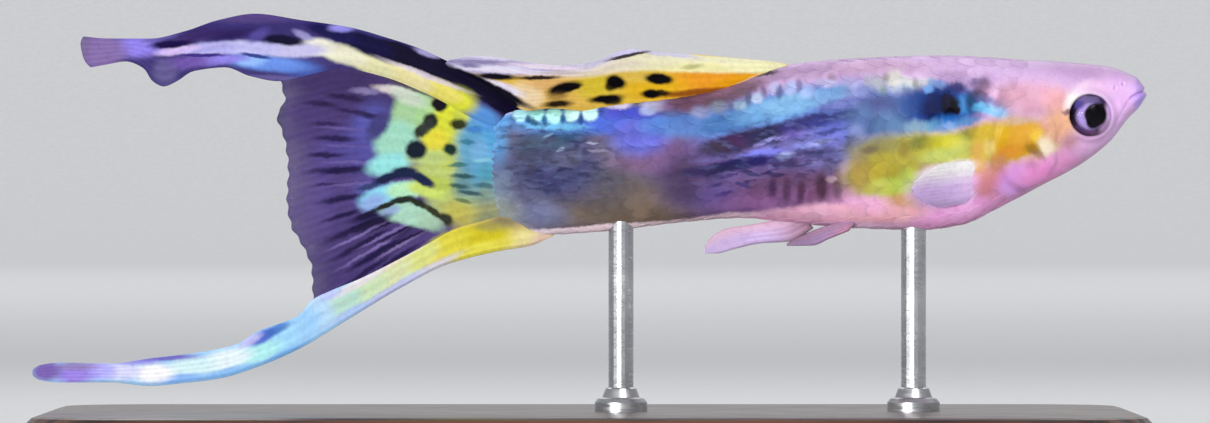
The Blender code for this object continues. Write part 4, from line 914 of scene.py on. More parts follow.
def scales_bmesh(side_sign, sizes, seed):
    """One flank's scales, each a plate bent to the body, in rows like roof tiles from the nape to the tail.

    The map OFBake has a small patch for each scale at its root's place along and round the body. The map
    ScaleGrain has mm across and along a scale. Each scale has one tone, and each point its reach from the
    root to the free edge.
    """
    chance = Random(seed)
    one = bpy.data.meshes.new("one_scale")
    flat = plate(5, 4)
    flat.to_mesh(one)
    flat.free()
    bm = bmesh.new()
    bake = bm.loops.layers.uv.new("OFBake")
    grain = bm.loops.layers.uv.new("ScaleGrain")
    tint = bm.verts.layers.float.new("tone")
    reach = bm.verts.layers.float.new("reach")
    step = 2 * math.pi / SCALE_ROWS
    done, faced = 0, 0
    for row in range(SCALE_ROWS // 2):
        middle = math.pi / 2 - step * (row + 0.5)
        round_share = 0.5 + (row + 0.5) / SCALE_ROWS * side_sign * 0.98
        for column in range(SCALE_COLUMNS):
            root = FIRST_COLUMN + SCALE_PITCH * (column + 0.5 * (row % 2))
            centre = body_point(root, middle, 0.0)
            if root < scale_front(centre[1]) or root > LAST_ROOT:
                continue
            bm.from_mesh(one)
            bm.verts.ensure_lookup_table()
            bm.faces.ensure_lookup_table()
            shade = chance.uniform(-1, 1)
            turn = chance.uniform(-0.05, 0.05)
            long = SCALE_PITCH * sizes.scale_overlap * chance.uniform(0.96, 1.04)
            long = min(long, LAST_TIP - root)
            sections = {}
            for vert in bm.verts[done:]:
                x, y, over = vert.co.x * 2, vert.co.y + 0.5, vert.co.z > 0.5
                y_round = y * (1 - CORNER_CUT * abs(x) ** 2.4 * y)
                wide = SCALE_WIDTH * step * (1 - 0.10 * (1 - y) - 0.10 * y**4)
                if over:
                    lift = OUTER_FACE + OUTER_RISE * y**0.8 * (1 - 0.10 * x * x)
                else:
                    lift = INNER_FACE + INNER_RISE * y
                back = root + long * y_round
                key = (round(y_round, 4), over, round(lift, 4))
                if key not in sections:
                    sections[key] = section(back, lift)
                angle = middle + x * wide + turn * y
                angle = angle if side_sign > 0 else math.pi - angle
                vert.co = place(*body_point(back, angle, lift, sections[key]))
                vert[tint], vert[reach] = shade, y
            for loop in (loop for face in bm.faces[faced:] for loop in face.loops):
                y = loop.vert[reach]
                x = (loop.vert.co - place(*centre)).z / MM
                loop[bake].uv = (root / BODY_LENGTH + BAKE_PATCH * (y - 0.5),
                                 round_share + BAKE_PATCH * max(-0.5, min(0.5, x)))
                loop[grain].uv = (x, y * long)
            done, faced = len(bm.verts), len(bm.faces)
    bpy.data.meshes.remove(one)
    return bm


def rise(distance, slope, start):
    """How full a fin is at a share of its size from an edge."""
    return min(1.0, distance * slope + start)


def fin_bmesh(sheet, across, along, thickness, rays, ray_height, tips=None):
    """A rayed fin round its middle sheet. Its map FinRays has the share across and the share along."""
    bm = plate(across, along)
    shares = {}
    for vert in bm.verts:
        u, v, front = vert.co.x + 0.5, vert.co.y + 0.5, vert.co.z < 0.5
        shares[vert] = (u, v)
        branch = smooth(v, *RAYS_PART)
        wave = (1 - branch) * math.cos(2 * math.pi * rays * u) + branch * math.cos(4 * math.pi * rays * u)
        edge = rise(min(u, 1 - u), 9, 0.12) * rise(1 - v, 12, 0.12) * rise(v, 18, 0.1)
        half = (thickness * 0.5 * (1 - FIN_TAPER * v) + ray_height * wave * (1 - 0.5 * v)) * edge
        half = max(half, THINNEST)
        back, up, side = sheet(u, v * (tips(u, v) if tips else 1.0))
        vert.co = place(back, up, side - half if front else side + half)
    maps = bm.loops.layers.uv.new("FinRays")
    for face in bm.faces:
        for loop in face.loops:
            loop[maps].uv = shares[loop.vert]
    return bm


def ray_tips(rays, depth):
    """Soft scallops in a fin's far edge: the share of its length that each place across it reaches."""

    def share(across, along):
        return 1 - smooth(along, 0.7, 1.0) * depth * (0.5 - 0.5 * math.cos(2 * math.pi * rays * across))

    return share


def blunt_tip(across, along):
    """Rounded corners at a sword's end."""
    return 1 - 0.012 * smooth(along, 0.9, 1.0) * abs(2 * across - 1) ** 3


# Materials


class Tree:
    """Adds nodes to a node tree, each in one call."""

    def __init__(self, tree):
        self.tree = tree

    def put(self, socket, value):
        if isinstance(value, bpy.types.NodeSocket):
            self.tree.links.new(value, socket)
        else:
            socket.default_value = value

    def add(self, kind, inputs=None, **settings):
        made = self.tree.nodes.new(kind)
        for key, value in settings.items():
            setattr(made, key, value)
        for key, value in (inputs or {}).items():
            self.put(made.inputs[key], value)
        return made

    def group(self, name, inputs):
        return self.add("ShaderNodeGroup", inputs, node_tree=bpy.data.node_groups[name])

    def math(self, operation, a, b=0.0, c=0.0):
        return self.add("ShaderNodeMath", {0: a, 1: b, 2: c}, operation=operation).outputs[0]

    def vector(self, operation, *values):
        return self.add("ShaderNodeVectorMath", dict(enumerate(values)), operation=operation).outputs[0]

    def mix(self, share, a, b, blend="MIX"):
        made = self.add("ShaderNodeMix", data_type="RGBA", blend_type=blend)
        for key, value in (("Factor_Float", share), ("A_Color", a), ("B_Color", b)):
            self.put(next(s for s in made.inputs if s.identifier == key), value)
        return next(s for s in made.outputs if s.identifier == "Result_Color")

    def ease(self, value, low, high, to_low=0.0, to_high=1.0):
        inputs = {"Value": value, "From Min": low, "From Max": high, "To Min": to_low, "To Max": to_high}
        return self.add("ShaderNodeMapRange", inputs, interpolation_type="SMOOTHSTEP").outputs[0]

    def position(self):
        return self.add("ShaderNodeTexCoord").outputs["Object"]

    def map(self, name):
        return self.add("ShaderNodeUVMap", uv_map=name).outputs[0]

    def stretch(self, vector, scale):
        return self.add("ShaderNodeMapping", {"Vector": vector, "Scale": scale}).outputs[0]

    def noise(self, vector, scale, detail=3.0, roughness=0.5, output="Fac"):
        inputs = {"Vector": vector, "Scale": scale, "Detail": detail, "Roughness": roughness}
        return self.add("ShaderNodeTexNoise", inputs).outputs[output]

    def streaks(self, spot, stretch, turn, scale, low, high):
        return self.group("streaks", {"Spot": spot, "Stretch": stretch, "Turn": (0, 0, math.radians(turn)),
                                      "Scale": scale, "Low": low, "High": high}).outputs[0]


FLOAT, VECTOR, COLOUR = "NodeSocketFloat", "NodeSocketVector", "NodeSocketColor"
ORIGIN = (0.0, 0.0, 0.0)


def new_group(name, inputs, outputs):
    """A shader node group: its Tree, the sockets that come in, each by its default, and those that go out."""
    tree = bpy.data.node_groups.new(name, "ShaderNodeTree")
    for label, default in inputs.items():
        kind = VECTOR if isinstance(default, tuple) else FLOAT
        tree.interface.new_socket(label, in_out="INPUT", socket_type=kind).default_value = default
    for label, kind in outputs.items():
        tree.interface.new_socket(label, in_out="OUTPUT", socket_type=kind)
    return Tree(tree), tree.nodes.new("NodeGroupInput").outputs, tree.nodes.new("NodeGroupOutput").inputs


def make_fish_measure():
    """Object coordinates in the fish's measure: as (back, up) with a wandering edge, and solid."""
    t, come, go = new_group("fish_measure", {"Wander": 0.1}, {"Rough spot": VECTOR, "Solid": VECTOR})
    solid = t.add("ShaderNodeMapping", {"Vector": t.position(), "Location": (SNOUT_X, 0, -MIDLINE),
                                        "Scale": (-1 / MM, 1 / MM, 1 / MM)}).outputs[0]
    parts = t.add("ShaderNodeSeparateXYZ", {0: solid}).outputs
    flat = t.add("ShaderNodeCombineXYZ", {"X": parts["X"], "Y": parts["Z"]}).outputs[0]
    broad = t.noise(solid, 1.1, 2.0, output="Color")
    fine = t.noise(solid, 4.5, 3.0, 0.6, output="Color")
    centred = t.vector("SUBTRACT", t.vector("ADD", broad, fine), (1, 1, 1))
    shift = {0: centred, "Scale": come["Wander"]}
    moved = t.vector("ADD", flat, t.add("ShaderNodeVectorMath", shift, operation="SCALE").outputs[0])
    t.put(go["Rough spot"], t.vector("MULTIPLY", moved, (1, 1, 0)))
    t.put(go["Solid"], solid)


def make_soft_mark():
    """An oval with a soft edge, as a mask."""
    t, come, go = new_group("soft_mark", {
        "Spot": ORIGIN, "Centre": ORIGIN, "Size": ORIGIN, "Turn": ORIGIN, "Softness": 0.4, "Strength": 1.0,
        "Broken by": 1.0,
    }, {"Mask": FLOAT})
    local = t.add("ShaderNodeMapping", {"Vector": come["Spot"], "Location": come["Centre"],
                                        "Rotation": come["Turn"], "Scale": come["Size"]},
                  vector_type="TEXTURE").outputs[0]
    out = t.add("ShaderNodeVectorMath", {0: local}, operation="LENGTH").outputs["Value"]
    soft = come["Softness"]
    mask = t.ease(out, t.math("SUBTRACT", 1.0, soft), t.math("ADD", 1.0, soft), 1.0, 0.0)
    t.put(go["Mask"], t.math("MULTIPLY", t.math("MULTIPLY", mask, come["Strength"]), come["Broken by"]))


def make_streaks():
    """Noise drawn out along one direction, as a mask."""
    t, come, go = new_group("streaks", {
        "Spot": ORIGIN, "Stretch": (1.0, 1.0, 1.0), "Turn": ORIGIN, "Scale": 2.0, "Low": 0.42, "High": 0.6,
    }, {"Mask": FLOAT})
    drawn = t.add("ShaderNodeMapping", {"Vector": come["Spot"], "Rotation": come["Turn"],
                                        "Scale": come["Stretch"]}).outputs[0]
    t.put(go["Mask"], t.ease(t.noise(drawn, come["Scale"], 1.5), come["Low"], come["High"]))


def make_fin_rays():
    """Fine lines along a fin that part in two towards its margin, as masks for on and between them."""
    t, come, go = new_group("fin_rays", {"Map": ORIGIN, "Rays": 12.0},
                            dict.fromkeys(("Between", "On", "Across", "Along"), FLOAT))
    parts = t.add("ShaderNodeSeparateXYZ", {0: come["Map"]}).outputs
    wobble = t.math("MULTIPLY_ADD", t.noise(come["Map"], 5.0, 2.0), 0.10, -0.05)
    turns = t.math("MULTIPLY", t.math("MULTIPLY_ADD", parts["X"], come["Rays"], wobble), 2 * math.pi)
    single, double = t.math("COSINE", turns), t.math("COSINE", t.math("MULTIPLY", turns, 2.0))
    branch = t.ease(parts["Y"], *RAYS_PART)
    wave = t.math("ADD", t.math("MULTIPLY", single, t.math("SUBTRACT", 1.0, branch)),
                  t.math("MULTIPLY", double, branch))
    t.put(go["Between"], t.ease(wave, 0.25, -0.55))
    t.put(go["On"], t.ease(wave, 0.1, 0.85))
    t.put(go["Across"], parts["X"])
    t.put(go["Along"], parts["Y"])


def painted(t, spot, ground, marks, breaks=None):
    """Lays soft marks over a ground colour, in order, and returns the colour.

    Every few marks the spot takes on a trace of the colour so far. This changes nothing to see, but has the
    renderer work the marks out a few at a time, because it has no room for all of them at once.
    """
    for count, (back, up, long, high, turn, soft, name, strength, *broken) in enumerate(marks):
        if count % MARKS_AT_ONCE == MARKS_AT_ONCE - 1:
            spot = t.vector("MULTIPLY_ADD", ground, (TRACE,) * 3, spot)
        inputs = {"Spot": spot, "Centre": (back / 100, up / 100, 0), "Size": (long / 100, high / 100, 1),
                  "Turn": (0, 0, math.radians(turn)), "Softness": soft / 100, "Strength": strength / 100}
        if broken:
            inputs["Broken by"] = breaks[broken[0]]
        ground = t.mix(t.group("soft_mark", inputs).outputs[0], ground, tone(name))
    return ground


def make_body_markings():
    """Colours of the whole body, which the skin and the scales both wear."""
    t, _, go = new_group("body_markings", {}, {"Colour": COLOUR, "Sheen": FLOAT, "Solid": VECTOR})
    measure = t.group("fish_measure", {"Wander": 0.15}).outputs
    spot, solid = measure["Rough spot"], measure["Solid"]
    # A comb of noise frays the marks up and down, less so along the middle of the flank
    calm = t.group("soft_mark", {"Spot": spot, "Centre": (18.0, -0.8, 0), "Size": (10.0, 3.0, 1),
                                 "Softness": 0.2, "Strength": 0.9}).outputs[0]
    comb = t.math("SUBTRACT", t.noise(t.stretch(spot, (5.0, 1.0, 1)), 1.0, 1.0), 0.5)
    shift = t.math("MULTIPLY", comb, t.math("MULTIPLY_ADD", calm, -COMB_DEPTH, COMB_DEPTH))
    spot = t.vector("ADD", spot, t.add("ShaderNodeCombineXYZ", {"Y": shift}).outputs[0])
    up = t.add("ShaderNodeSeparateXYZ", {0: spot}).outputs["Y"]
    breaks = {
        "glints": t.streaks(spot, (0.7, 2.2, 1), -14, 2.2, 0.50, 0.66),
        "shades": t.streaks(spot, (0.8, 2.0, 1), -14, 2.0, 0.50, 0.36),
    }
    ground = t.mix(t.ease(up, -1.6, 2.0), tone("belly_pink"), tone("back_lilac"))
    paint = painted(t, spot, ground, BODY_MARKS, breaks)
    mottle = t.noise(solid, 1.6, 4.0, 0.6)
    pores = t.noise(solid, 16.0, 2.0, 0.7)
    paint = t.mix(t.ease(mottle, 0.35, 0.7, 0.0, 0.30), paint, tone("stalk_grey"), "SOFT_LIGHT")
    paint = t.mix(t.ease(pores, 0.58, 0.75, 0.0, 0.30), paint, tone("halo_white"), "SOFT_LIGHT")
    paint = t.mix(t.ease(pores, 0.40, 0.26, 0.0, 0.30), paint, tone("umber_grey"), "MULTIPLY")
    parts = t.add("ShaderNodeSeparateColor", {0: paint}).outputs
    t.put(go["Colour"], paint)
    t.put(go["Sheen"], t.ease(t.math("SUBTRACT", parts["Blue"], parts["Red"]), 0.04, 0.35))
    t.put(go["Solid"], solid)


def material(name):
    """A new material and its Tree."""
    made = bpy.data.materials.new(name)
    made.use_nodes = True
    return made, Tree(made.node_tree)


def dress(t, values, grain, rough, relief=None, height=None):
    """Fills in a material's shader: its values, its roughness out of a grain, and its relief.

    The roughness is given as (from low, from high, to low, to high), and the relief as (strength, depth in
    mm). The relief follows the grain too, unless it is given a height of its own.
    """
    sockets = t.tree.nodes["Principled BSDF"].inputs
    for name, value in values.items():
        t.put(sockets[name], value)
    t.put(sockets["Roughness"], t.ease(grain, *rough))
    if relief:
        strength, depth = relief
        inputs = {"Height": grain if height is None else height, "Strength": strength, "Distance": depth * MM}
        t.put(sockets["Normal"], t.add("ShaderNodeBump", inputs).outputs[0])


def skin_material():
    made, t = material("guppy_skin")
    marks = t.group("body_markings", {}).outputs
    pits = t.noise(marks["Solid"], 14.0, 4.0, 0.6)
    dress(t, {
        "Base Color": marks["Colour"], "Metallic": t.math("MULTIPLY", marks["Sheen"], SHEEN),
        "Specular IOR Level": 0.08, "Coat Weight": 0.06, "Coat Roughness": 0.08, "Subsurface Weight": 0.10,
        "Subsurface Scale": 0.25 * MM,
    }, pits, (0.3, 0.7, 0.30, 0.42), (0.25, 0.03))
    return made


def scale_material():
    made, t = material("guppy_scales")
    marks = t.group("body_markings", {}).outputs
    shade = t.add("ShaderNodeAttribute", attribute_name="tone").outputs["Fac"]
    reach = t.add("ShaderNodeAttribute", attribute_name="reach").outputs["Fac"]
    paint = t.mix(t.ease(shade, 0.0, 1.0, 0.0, 0.25), marks["Colour"], tone("halo_white"), "SOFT_LIGHT")
    paint = t.mix(t.ease(shade, 0.0, -1.0, 0.0, 0.10), paint, tone("ink_violet"), "MULTIPLY")
    # Painted shade: each scale turns darker towards its root, which lies under the scale in front
    paint = t.mix(t.ease(reach, 0.55, 0.36, 0.0, 0.08), paint, tone("deep_plum"))
    paint = t.mix(t.ease(reach, 0.90, 1.0, 0.0, 0.08), paint, tone("deep_plum"))
    wave = {"Vector": t.map("ScaleGrain"), "Scale": 5.0, "Distortion": 1.2, "Detail": 2.0}
    rings = t.add("ShaderNodeTexWave", wave, wave_type="RINGS", rings_direction="SPHERICAL").outputs["Fac"]
    dress(t, {
        "Base Color": paint, "Metallic": t.math("MULTIPLY", marks["Sheen"], SHEEN),
        "Specular IOR Level": 0.04, "Coat Weight": 0.04, "Coat Roughness": 0.08,
    }, rings, (0.0, 1.0, 0.26, 0.36), (0.25, 0.01))
    return made


def fin_tree(name, rays, wander=0.10):
    """What every fin's material starts from: it, its Tree, the fish's measure and the fin's rays."""
    made, t = material(name)
    measure = t.group("fish_measure", {"Wander": wander}).outputs
    lines = t.group("fin_rays", {"Map": t.map("FinRays"), "Rays": float(rays)}).outputs
    return made, t, measure, lines


def fin_finish(t, measure, lines, paint, alpha=1.0, contrast=1.0, depth=FIN_DEPTH):
    """Fine rays and mottling over a fin's colour, and its soft gloss. Black stays black under the rays."""
    mottle = t.noise(measure["Solid"], 5.0, 4.0, 0.6)
    dim, plain = (depth * 0.7, depth * 0.64, depth * 0.78, 1), (depth, depth, depth, 1)
    paint = t.mix(1.0, paint, t.mix(t.ease(mottle, 0.42, 0.7, 0.0, 0.35), plain, dim), "MULTIPLY")
    for mask, shade, blend in (
        ("Between", (0.62, 0.58, 0.68, 1), "MULTIPLY"),
        ("On", (0.80, 0.78, 0.84, 1), "SOFT_LIGHT"),
    ):
        paint = t.mix(t.math("MULTIPLY", lines[mask], 0.30 * contrast), paint, shade, blend)
    dress(t, {"Base Color": paint, "Specular IOR Level": 0.03, "Alpha": alpha}, mottle, (0.3, 0.7, 0.34, 0.5),
          (0.2, 0.02))


def fade(t, share, low, high, most):
    """Opacity that falls by the most between two values of a share."""
    return t.math("SUBTRACT", 1.0, t.math("MULTIPLY", t.ease(share, low, high), most))


def web_material():
    """The tail's web, which turns clear towards its margin."""
    made, t, measure, lines = fin_tree("tail_web", bpy.context.scene.guppy_fins.web_rays, 0.16)
    stripes = t.noise(t.stretch(t.map("FinRays"), (26, 1.5, 1)), 1.0, 2.0)
    paint = painted(t, measure["Rough spot"], tone("web_violet"), WEB_MARKS)
    fringe = t.math("ADD", lines["Along"], t.math("MULTIPLY_ADD", stripes, 0.16, -0.08))
    fin_finish(t, measure, lines, paint, fade(t, fringe, 0.84, 1.04, 0.32), 0.35)
    return made


def marked_fin_material(name, rays, ground, marks, contrast, depth=FIN_DEPTH):
    """A fin whose colours are laid out as marks over one ground colour."""
    made, t, measure, lines = fin_tree(name, rays, 0.09)
    paint = painted(t, measure["Rough spot"], tone(ground), marks)
    fin_finish(t, measure, lines, paint, contrast=contrast, depth=depth)
    return made


def plain_fin_material(name, rays, edge, middle, root, contrast):
    """A pale see-through fin: one colour at its root, one in its middle and one along its upper edge."""
    made, t, measure, lines = fin_tree(name, rays)
    paint = t.mix(t.ease(lines["Along"], 0.05, 0.5), tone(root), tone(middle))
    paint = t.mix(t.ease(lines["Across"], 0.62, 0.10), paint, tone(edge))
    fin_finish(t, measure, lines, paint, fade(t, lines["Along"], 0.3, 1.0, 0.35), contrast, 1.0)
    return made


def eye_material():
    made, t = material("guppy_iris")
    measure = t.group("fish_measure", {"Wander": 0.025}).outputs
    flecks = t.noise(measure["Solid"], 9.0, 4.0, 0.7)
    paint = painted(t, measure["Rough spot"], tone("eye_ring"), EYE_MARKS)
    paint = t.mix(t.ease(flecks, 0.50, 0.7, 0.0, 0.35), paint, tone("eye_violet"), "SOFT_LIGHT")
    dress(t, {"Base Color": paint, "Specular IOR Level": 0.05}, flecks, (0.3, 0.7, 0.25, 0.4), (0.15, 0.01))
    return made


def cornea_material():
    made, t = material("guppy_cornea")
    film = t.noise(t.group("fish_measure", {"Wander": 0.05}).outputs["Solid"], 3.0, 2.0)
    dress(t, {"Base Color": (1, 1, 1, 1), "Transmission Weight": 1.0, "IOR": 1.2}, film,
          (0.2, 0.8, 0.01, 0.06), (0.05, 0.01))
    return made


def wood_material():
    made, t = material("dark_wood")
    drawn = t.stretch(t.position(), (60, 420, 420))
    bent = t.noise(drawn, 1.0)
    lines = t.add("ShaderNodeTexWave", {"Vector": drawn, "Scale": 0.9, "Distortion": 5.0, "Detail": 3.0,
                                        "Detail Scale": 1.6}, bands_direction="Y").outputs["Fac"]
    pores = t.noise(t.stretch(t.position(), (400, 3600, 3600)), 1.0, 3.0, 0.6)
    paint = t.mix(t.ease(lines, 0.2, 0.9), tone("wood_dark"), tone("wood_light"))
    paint = t.mix(t.ease(bent, 0.35, 0.7, 0.0, 0.5), paint, tone("wood_dark"))
    paint = t.mix(t.ease(pores, 0.58, 0.70, 0.0, 0.6), paint, tone("sword_black"))
    height = t.math("SUBTRACT", t.math("MULTIPLY", lines, 0.5), pores)
    dress(t, {"Base Color": paint, "Coat Weight": 0.35, "Coat Roughness": 0.22}, pores, (0.3, 0.7, 0.30, 0.5),
          (0.35, 0.02), height)
    return made


def steel_material():
    made, t = material("brushed_steel")
    brush = t.noise(t.stretch(t.position(), (900, 900, 9000)), 1.0, 4.0, 0.6)
    patina = t.noise(t.position(), 700.0)
    paint = t.mix(t.ease(patina, 0.35, 0.7), (0.46, 0.47, 0.49, 1), (0.62, 0.62, 0.63, 1))
    dress(t, {"Base Color": paint, "Metallic": 1.0}, brush, (0.3, 0.7, 0.22, 0.42), (0.2, 0.005))
    return made


def backdrop_material():
    made, t = material("pale_paper")
    tooth = t.noise(t.position(), 900.0, 4.0, 0.6)
    paint = t.mix(t.ease(tooth, 0.3, 0.7), (0.74, 0.74, 0.75, 1), (0.78, 0.78, 0.78, 1))
    dress(t, {"Base Color": paint}, tooth, (0.3, 0.7, 0.7, 0.9))
    return made


# Operators


class GUPPY_OT_skin(bpy.types.Operator):
    """Makes the one skin over the head, trunk and tail stalk"""

    bl_idname = "guppy.skin"
    bl_label = "Skin"

    def execute(self, context):
        for make in (make_fish_measure, make_soft_mark, make_streaks, make_fin_rays, make_body_markings):
            make()
        build("skin", skin_bmesh(context.scene.guppy_skin), skin_material(),
              ("head", "lower_jaw", "gill_cover_right", "gill_cover_left", "trunk", "tail_stalk"))
        return {"FINISHED"}


class GUPPY_OT_scales(bpy.types.Operator):
    """Lays the scales of both flanks over the skin"""

    bl_idname = "guppy.scales"
    bl_label = "Scales"

    def execute(self, context):
        finish = scale_material()
        for name, sign, seed in (("scales_left", 1, 11), ("scales_right", -1, 12)):
            build(name, scales_bmesh(sign, context.scene.guppy_skin, seed), finish, sharp=35)
        return {"FINISHED"}


def ball_bmesh(sign, radius, depth):
    """A ball in one of the eye's openings, flatter through than across."""
    centre = place(*EYE_CENTRE, sign * EYE_SIDE)
    turn = Matrix.Rotation(math.radians(-sign * EYE_TURN), 4, "Z")
    bm = bmesh.new()
    bmesh.ops.create_uvsphere(bm, u_segments=64, v_segments=40, radius=1.0)
    bmesh.ops.scale(bm, verts=bm.verts, vec=(radius * MM, radius * MM, depth * MM))
    bmesh.ops.rotate(bm, verts=bm.verts, matrix=Matrix.Rotation(math.radians(90), 4, "X"))
    bmesh.ops.transform(bm, verts=bm.verts, matrix=Matrix.Translation(centre) @ turn)
    return bm


class GUPPY_OT_eyes(bpy.types.Operator):
    """Sets both eyeballs in their openings, each under a clear cornea"""

    bl_idname = "guppy.eyes"
    bl_label = "Eyes"

    def execute(self, context):
        iris, cornea = eye_material(), cornea_material()
        for side, sign in SIDES:
            ball = ball_bmesh(sign, EYE_RADIUS, EYE_HALF_DEPTH)
            over = ball_bmesh(sign, EYE_RADIUS + CORNEA_RIM, EYE_HALF_DEPTH + CORNEA_BULGE)
            build("eye_ball_" + side, ball, iris, ("eye_" + side,))
            build("eye_cornea_" + side, over, cornea)
        return {"FINISHED"}


class GUPPY_OT_tail(bpy.types.Operator):
    """Makes the tail: two swords and the web between them"""

    bl_idname = "guppy.tail"
    bl_label = "Tail"

    def execute(self, context):
        fins = context.scene.guppy_fins
        thick, ray = fins.thickness / MM, fins.ray_height / MM
        web = fan(WEB_TOP, WEB_BOTTOM, WEB_ROOT, WEB_MARGIN, tail_sway)
        tips = ray_tips(fins.web_rays, 0.008)
        build("tail_web_fin", fin_bmesh(web, 240, 46, thick, fins.web_rays, ray, tips), web_material(),
              ("tail_web",))
        upper = strip(SWORD_TOP_OUTER, SWORD_TOP_INNER, tail_sway)
        build("upper_sword", fin_bmesh(upper, 64, 130, thick + SWORD_EXTRA, SWORD_RAYS, ray, blunt_tip),
              marked_fin_material("upper_sword", SWORD_RAYS, "sword_film", UPPER_SWORD_MARKS, 0.5),
              ("tail_sword_upper",))
        lower = strip(SWORD_LOW_INNER, SWORD_LOW_OUTER, tail_sway)
        build("lower_sword", fin_bmesh(lower, 56, 130, thick + SWORD_EXTRA, SWORD_RAYS, ray, blunt_tip),
              marked_fin_material("lower_sword", SWORD_RAYS, "sword_ice", LOWER_SWORD_MARKS, 0.4, 0.84),
              ("tail_sword_lower",))
        return {"FINISHED"}


class GUPPY_OT_dorsal(bpy.types.Operator):
    """Makes the folded dorsal fin"""

    bl_idname = "guppy.dorsal"
    bl_label = "Dorsal Fin"

    def execute(self, context):
        fins = context.scene.guppy_fins
        thick, ray = fins.thickness / MM + DORSAL_EXTRA, fins.ray_height / MM
        sheet = strip(DORSAL_TOP, DORSAL_LOW, dorsal_sway)
        build("dorsal", fin_bmesh(sheet, 144, 110, thick, DORSAL_RAYS, ray, blunt_tip),
              marked_fin_material("dorsal_fin", DORSAL_RAYS, "dorsal_gold", DORSAL_MARKS, 0.3),
              ("dorsal_fin",))
        return {"FINISHED"}


class GUPPY_OT_under_fins(bpy.types.Operator):
    """Makes the anal, pelvic and pectoral fins"""

    bl_idname = "guppy.under_fins"
    bl_label = "Under Fins"

    def execute(self, context):
        fins = context.scene.guppy_fins
        thick, ray = fins.thickness / MM, fins.ray_height / MM
        pale = plain_fin_material("pale_fin", 4, "under_pink", "under_lilac", "a88498", 0.4)
        dim = plain_fin_material("dim_fin", 4, "a07c98", "9c80a4", "b08098", 0.4)
        clear = plain_fin_material("clear_fin", 6, "pearl", "d0b4e4", "e0bce4", 0.15)
        anal = strip(ANAL_TOP, ANAL_LOW, lambda back, up: 0.0)
        build("anal", fin_bmesh(anal, 24, 40, thick + ANAL_EXTRA, 5, ray), pale,
              ("anal_fin",))
        for side, sign in SIDES:
            pelvic = strip(PELVIC_TOP, PELVIC_LOW, lambda back, up, sign=sign: sign * PELVIC_SIDE)
            build("pelvic_" + side, fin_bmesh(pelvic, 20, 30, thick, 5, ray), dim,
                  ("pelvic_fin_" + side,))
            paddle = fin_bmesh(pectoral(sign), 144, 32, thick * 0.7, 6, ray * 0.5, ray_tips(6, 0.02))
            build("pectoral_" + side, paddle, clear, ("pectoral_fin_" + side,))
        return {"FINISHED"}


def collar_bmesh(inner, outer, foot):
    """A turned collar round a rod, from its section as (from the rod's axis, up) in metres."""
    outline = (
        (inner + 0.02 * MM, -0.1 * MM), (outer, -0.1 * MM), (outer, 0.35 * MM), (outer - 0.12 * MM, 0.5 * MM),
        (inner + 0.25 * MM, 0.55 * MM), (inner + 0.12 * MM, 0.9 * MM), (inner + 0.02 * MM, 0.95 * MM),
    )
    bm = bmesh.new()
    corners = [bm.verts.new((x, 0, z)) for x, z in outline]
    edges = [bm.edges.new((a, b)) for a, b in zip(corners, corners[1:] + corners[:1])]
    bmesh.ops.spin(bm, geom=corners + edges, cent=(0, 0, 0), axis=(0, 0, 1), angle=2 * math.pi, steps=48,
                   use_merge=True)
    bmesh.ops.translate(bm, verts=bm.verts, vec=foot)
    return bm


class GUPPY_OT_stand(bpy.types.Operator):
    """Finishes the wooden base and its steel rods, with a turned collar at each rod's foot"""

    bl_idname = "guppy.stand"
    bl_label = "Stand"

    def execute(self, context):
        wood, steel = wood_material(), steel_material()
        for name, finish in (("stand_base", wood), ("stand_rod_front", steel), ("stand_rod_rear", steel)):
            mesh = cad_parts[name].data
            mesh.materials.clear()
            mesh.materials.append(finish)
        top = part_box("stand_base")[1][2]
        for name in ("front", "rear"):
            low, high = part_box("stand_rod_" + name)
            foot = Vector(((low[0] + high[0]) / 2, (low[1] + high[1]) / 2, top))
            collar = collar_bmesh((high[0] - low[0]) / 2, context.scene.guppy_stand.collar_radius, foot)
            build("collar_" + name, collar, steel, sharp=25)
        return {"FINISHED"}


def studio_floor():
    """A floor that curves up into a wall behind the model."""
    profile = [(-FLOOR_HALF, 0.0), (CURVE_FROM, 0.0)]
    for degrees in range(5, 91, 5):
        turn = math.radians(degrees)
        profile.append((CURVE_FROM + CURVE_RADIUS * math.sin(turn), CURVE_RADIUS * (1 - math.cos(turn))))
    profile.append((CURVE_FROM + CURVE_RADIUS, WALL_TOP))
    bm = bmesh.new()
    corners = [bm.verts.new((-FLOOR_HALF, y, z)) for y, z in profile]
    edges = [bm.edges.new(pair) for pair in zip(corners, corners[1:])]
    grown = bmesh.ops.extrude_edge_only(bm, edges=edges)["geom"]
    bmesh.ops.translate(bm, verts=verts_of(grown), vec=(2 * FLOOR_HALF, 0, 0))
    for face in bm.faces:
        face.smooth = True
        if face.normal.z < face.normal.y:
            face.normal_flip()
    mesh = bpy.data.meshes.new("studio_floor")
    bm.to_mesh(mesh)
    bm.free()
    mesh.materials.append(backdrop_material())
    floor = bpy.data.objects.new("studio_floor", mesh)
    bpy.context.scene.collection.objects.link(floor)


def area_light(name, at, size, aim, energy):
    light = bpy.data.lights.new(name, "AREA")
    light.shape, light.size, light.size_y, light.energy = "RECTANGLE", size[0], size[1], energy
    lamp = bpy.data.objects.new(name, light)
    lamp.location = at
    lamp.rotation_euler = (Vector(aim) - Vector(at)).to_track_quat("-Z", "Y").to_euler()
    bpy.context.scene.collection.objects.link(lamp)


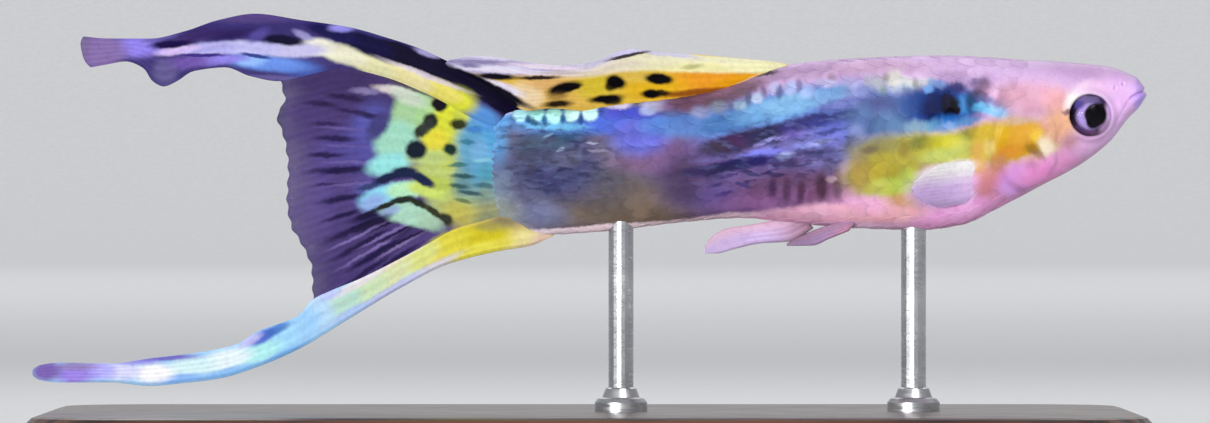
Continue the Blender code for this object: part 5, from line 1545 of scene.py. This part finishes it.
class GUPPY_OT_stage(bpy.types.Operator):
    """Sets the pale floor and backdrop, the soft lights and the camera"""

    bl_idname = "guppy.stage"
    bl_label = "Stage"

    def execute(self, context):
        scene, stage = context.scene, context.scene.guppy_stage
        studio_floor()
        for name, (at, size, aim, setting, share) in LIGHTS.items():
            area_light(name, at, size, aim, getattr(stage, setting) * share)

        world = bpy.data.worlds.new("pale_surround")
        world.use_nodes = True
        background = world.node_tree.nodes["Background"].inputs
        background["Color"].default_value = (0.92, 0.95, 1.0, 1)
        background["Strength"].default_value = stage.surround
        scene.world = world
        scene.view_settings.view_transform = "Standard"

        camera = bpy.data.cameras.new("camera")
        camera.sensor_width = SENSOR
        camera.lens = SENSOR * stage.distance / (FRAME_WIDTH * PIXEL * MM)
        camera.clip_start, camera.clip_end = 0.01, 10.0
        eye = bpy.data.objects.new("camera", camera)
        eye.location = (CAMERA_ACROSS * MM, -stage.distance, CAMERA_HEIGHT * MM)
        eye.rotation_euler = (math.radians(90), 0, 0)
        scene.collection.objects.link(eye)
        scene.camera = eye
        return {"FINISHED"}


PANEL_ROWS = (
    ("guppy_colours", ()),
    ("guppy_skin", ("guppy.skin", "guppy.scales", "guppy.eyes")),
    ("guppy_fins", ("guppy.tail", "guppy.dorsal", "guppy.under_fins")),
    ("guppy_stand", ("guppy.stand",)),
    ("guppy_stage", ("guppy.stage",)),
)


class GUPPY_PT_panel(bpy.types.Panel):
    bl_idname = "GUPPY_PT_panel"
    bl_label = "Fancy Guppy"
    bl_space_type = "VIEW_3D"
    bl_region_type = "UI"
    bl_category = "Guppy"

    def draw(self, context):
        for settings, operators in PANEL_ROWS:
            box = self.layout.box()
            owner = getattr(context.scene, settings)
            for name in owner.__annotations__:
                box.prop(owner, name)
            for operator in operators:
                box.operator(operator)


SETTINGS = {
    "guppy_colours": GuppyColours, "guppy_skin": GuppySkin, "guppy_fins": GuppyFins,
    "guppy_stand": GuppyStand, "guppy_stage": GuppyStage,
}
CLASSES = (
    *SETTINGS.values(), GUPPY_OT_skin, GUPPY_OT_scales, GUPPY_OT_eyes, GUPPY_OT_tail, GUPPY_OT_dorsal,
    GUPPY_OT_under_fins, GUPPY_OT_stand, GUPPY_OT_stage, GUPPY_PT_panel,
)


def register():
    for each in CLASSES:
        bpy.utils.register_class(each)
    for name, group in SETTINGS.items():
        setattr(bpy.types.Scene, name, PointerProperty(type=group))


def unregister():
    for name in SETTINGS:
        delattr(bpy.types.Scene, name)
    for each in reversed(CLASSES):
        bpy.utils.unregister_class(each)


def main():
    register()
    for piece in ("skin", "scales", "eyes", "tail", "dorsal", "under_fins", "stand", "stage"):
        getattr(bpy.ops.guppy, piece)()


if __name__ == "__main__":
    main()
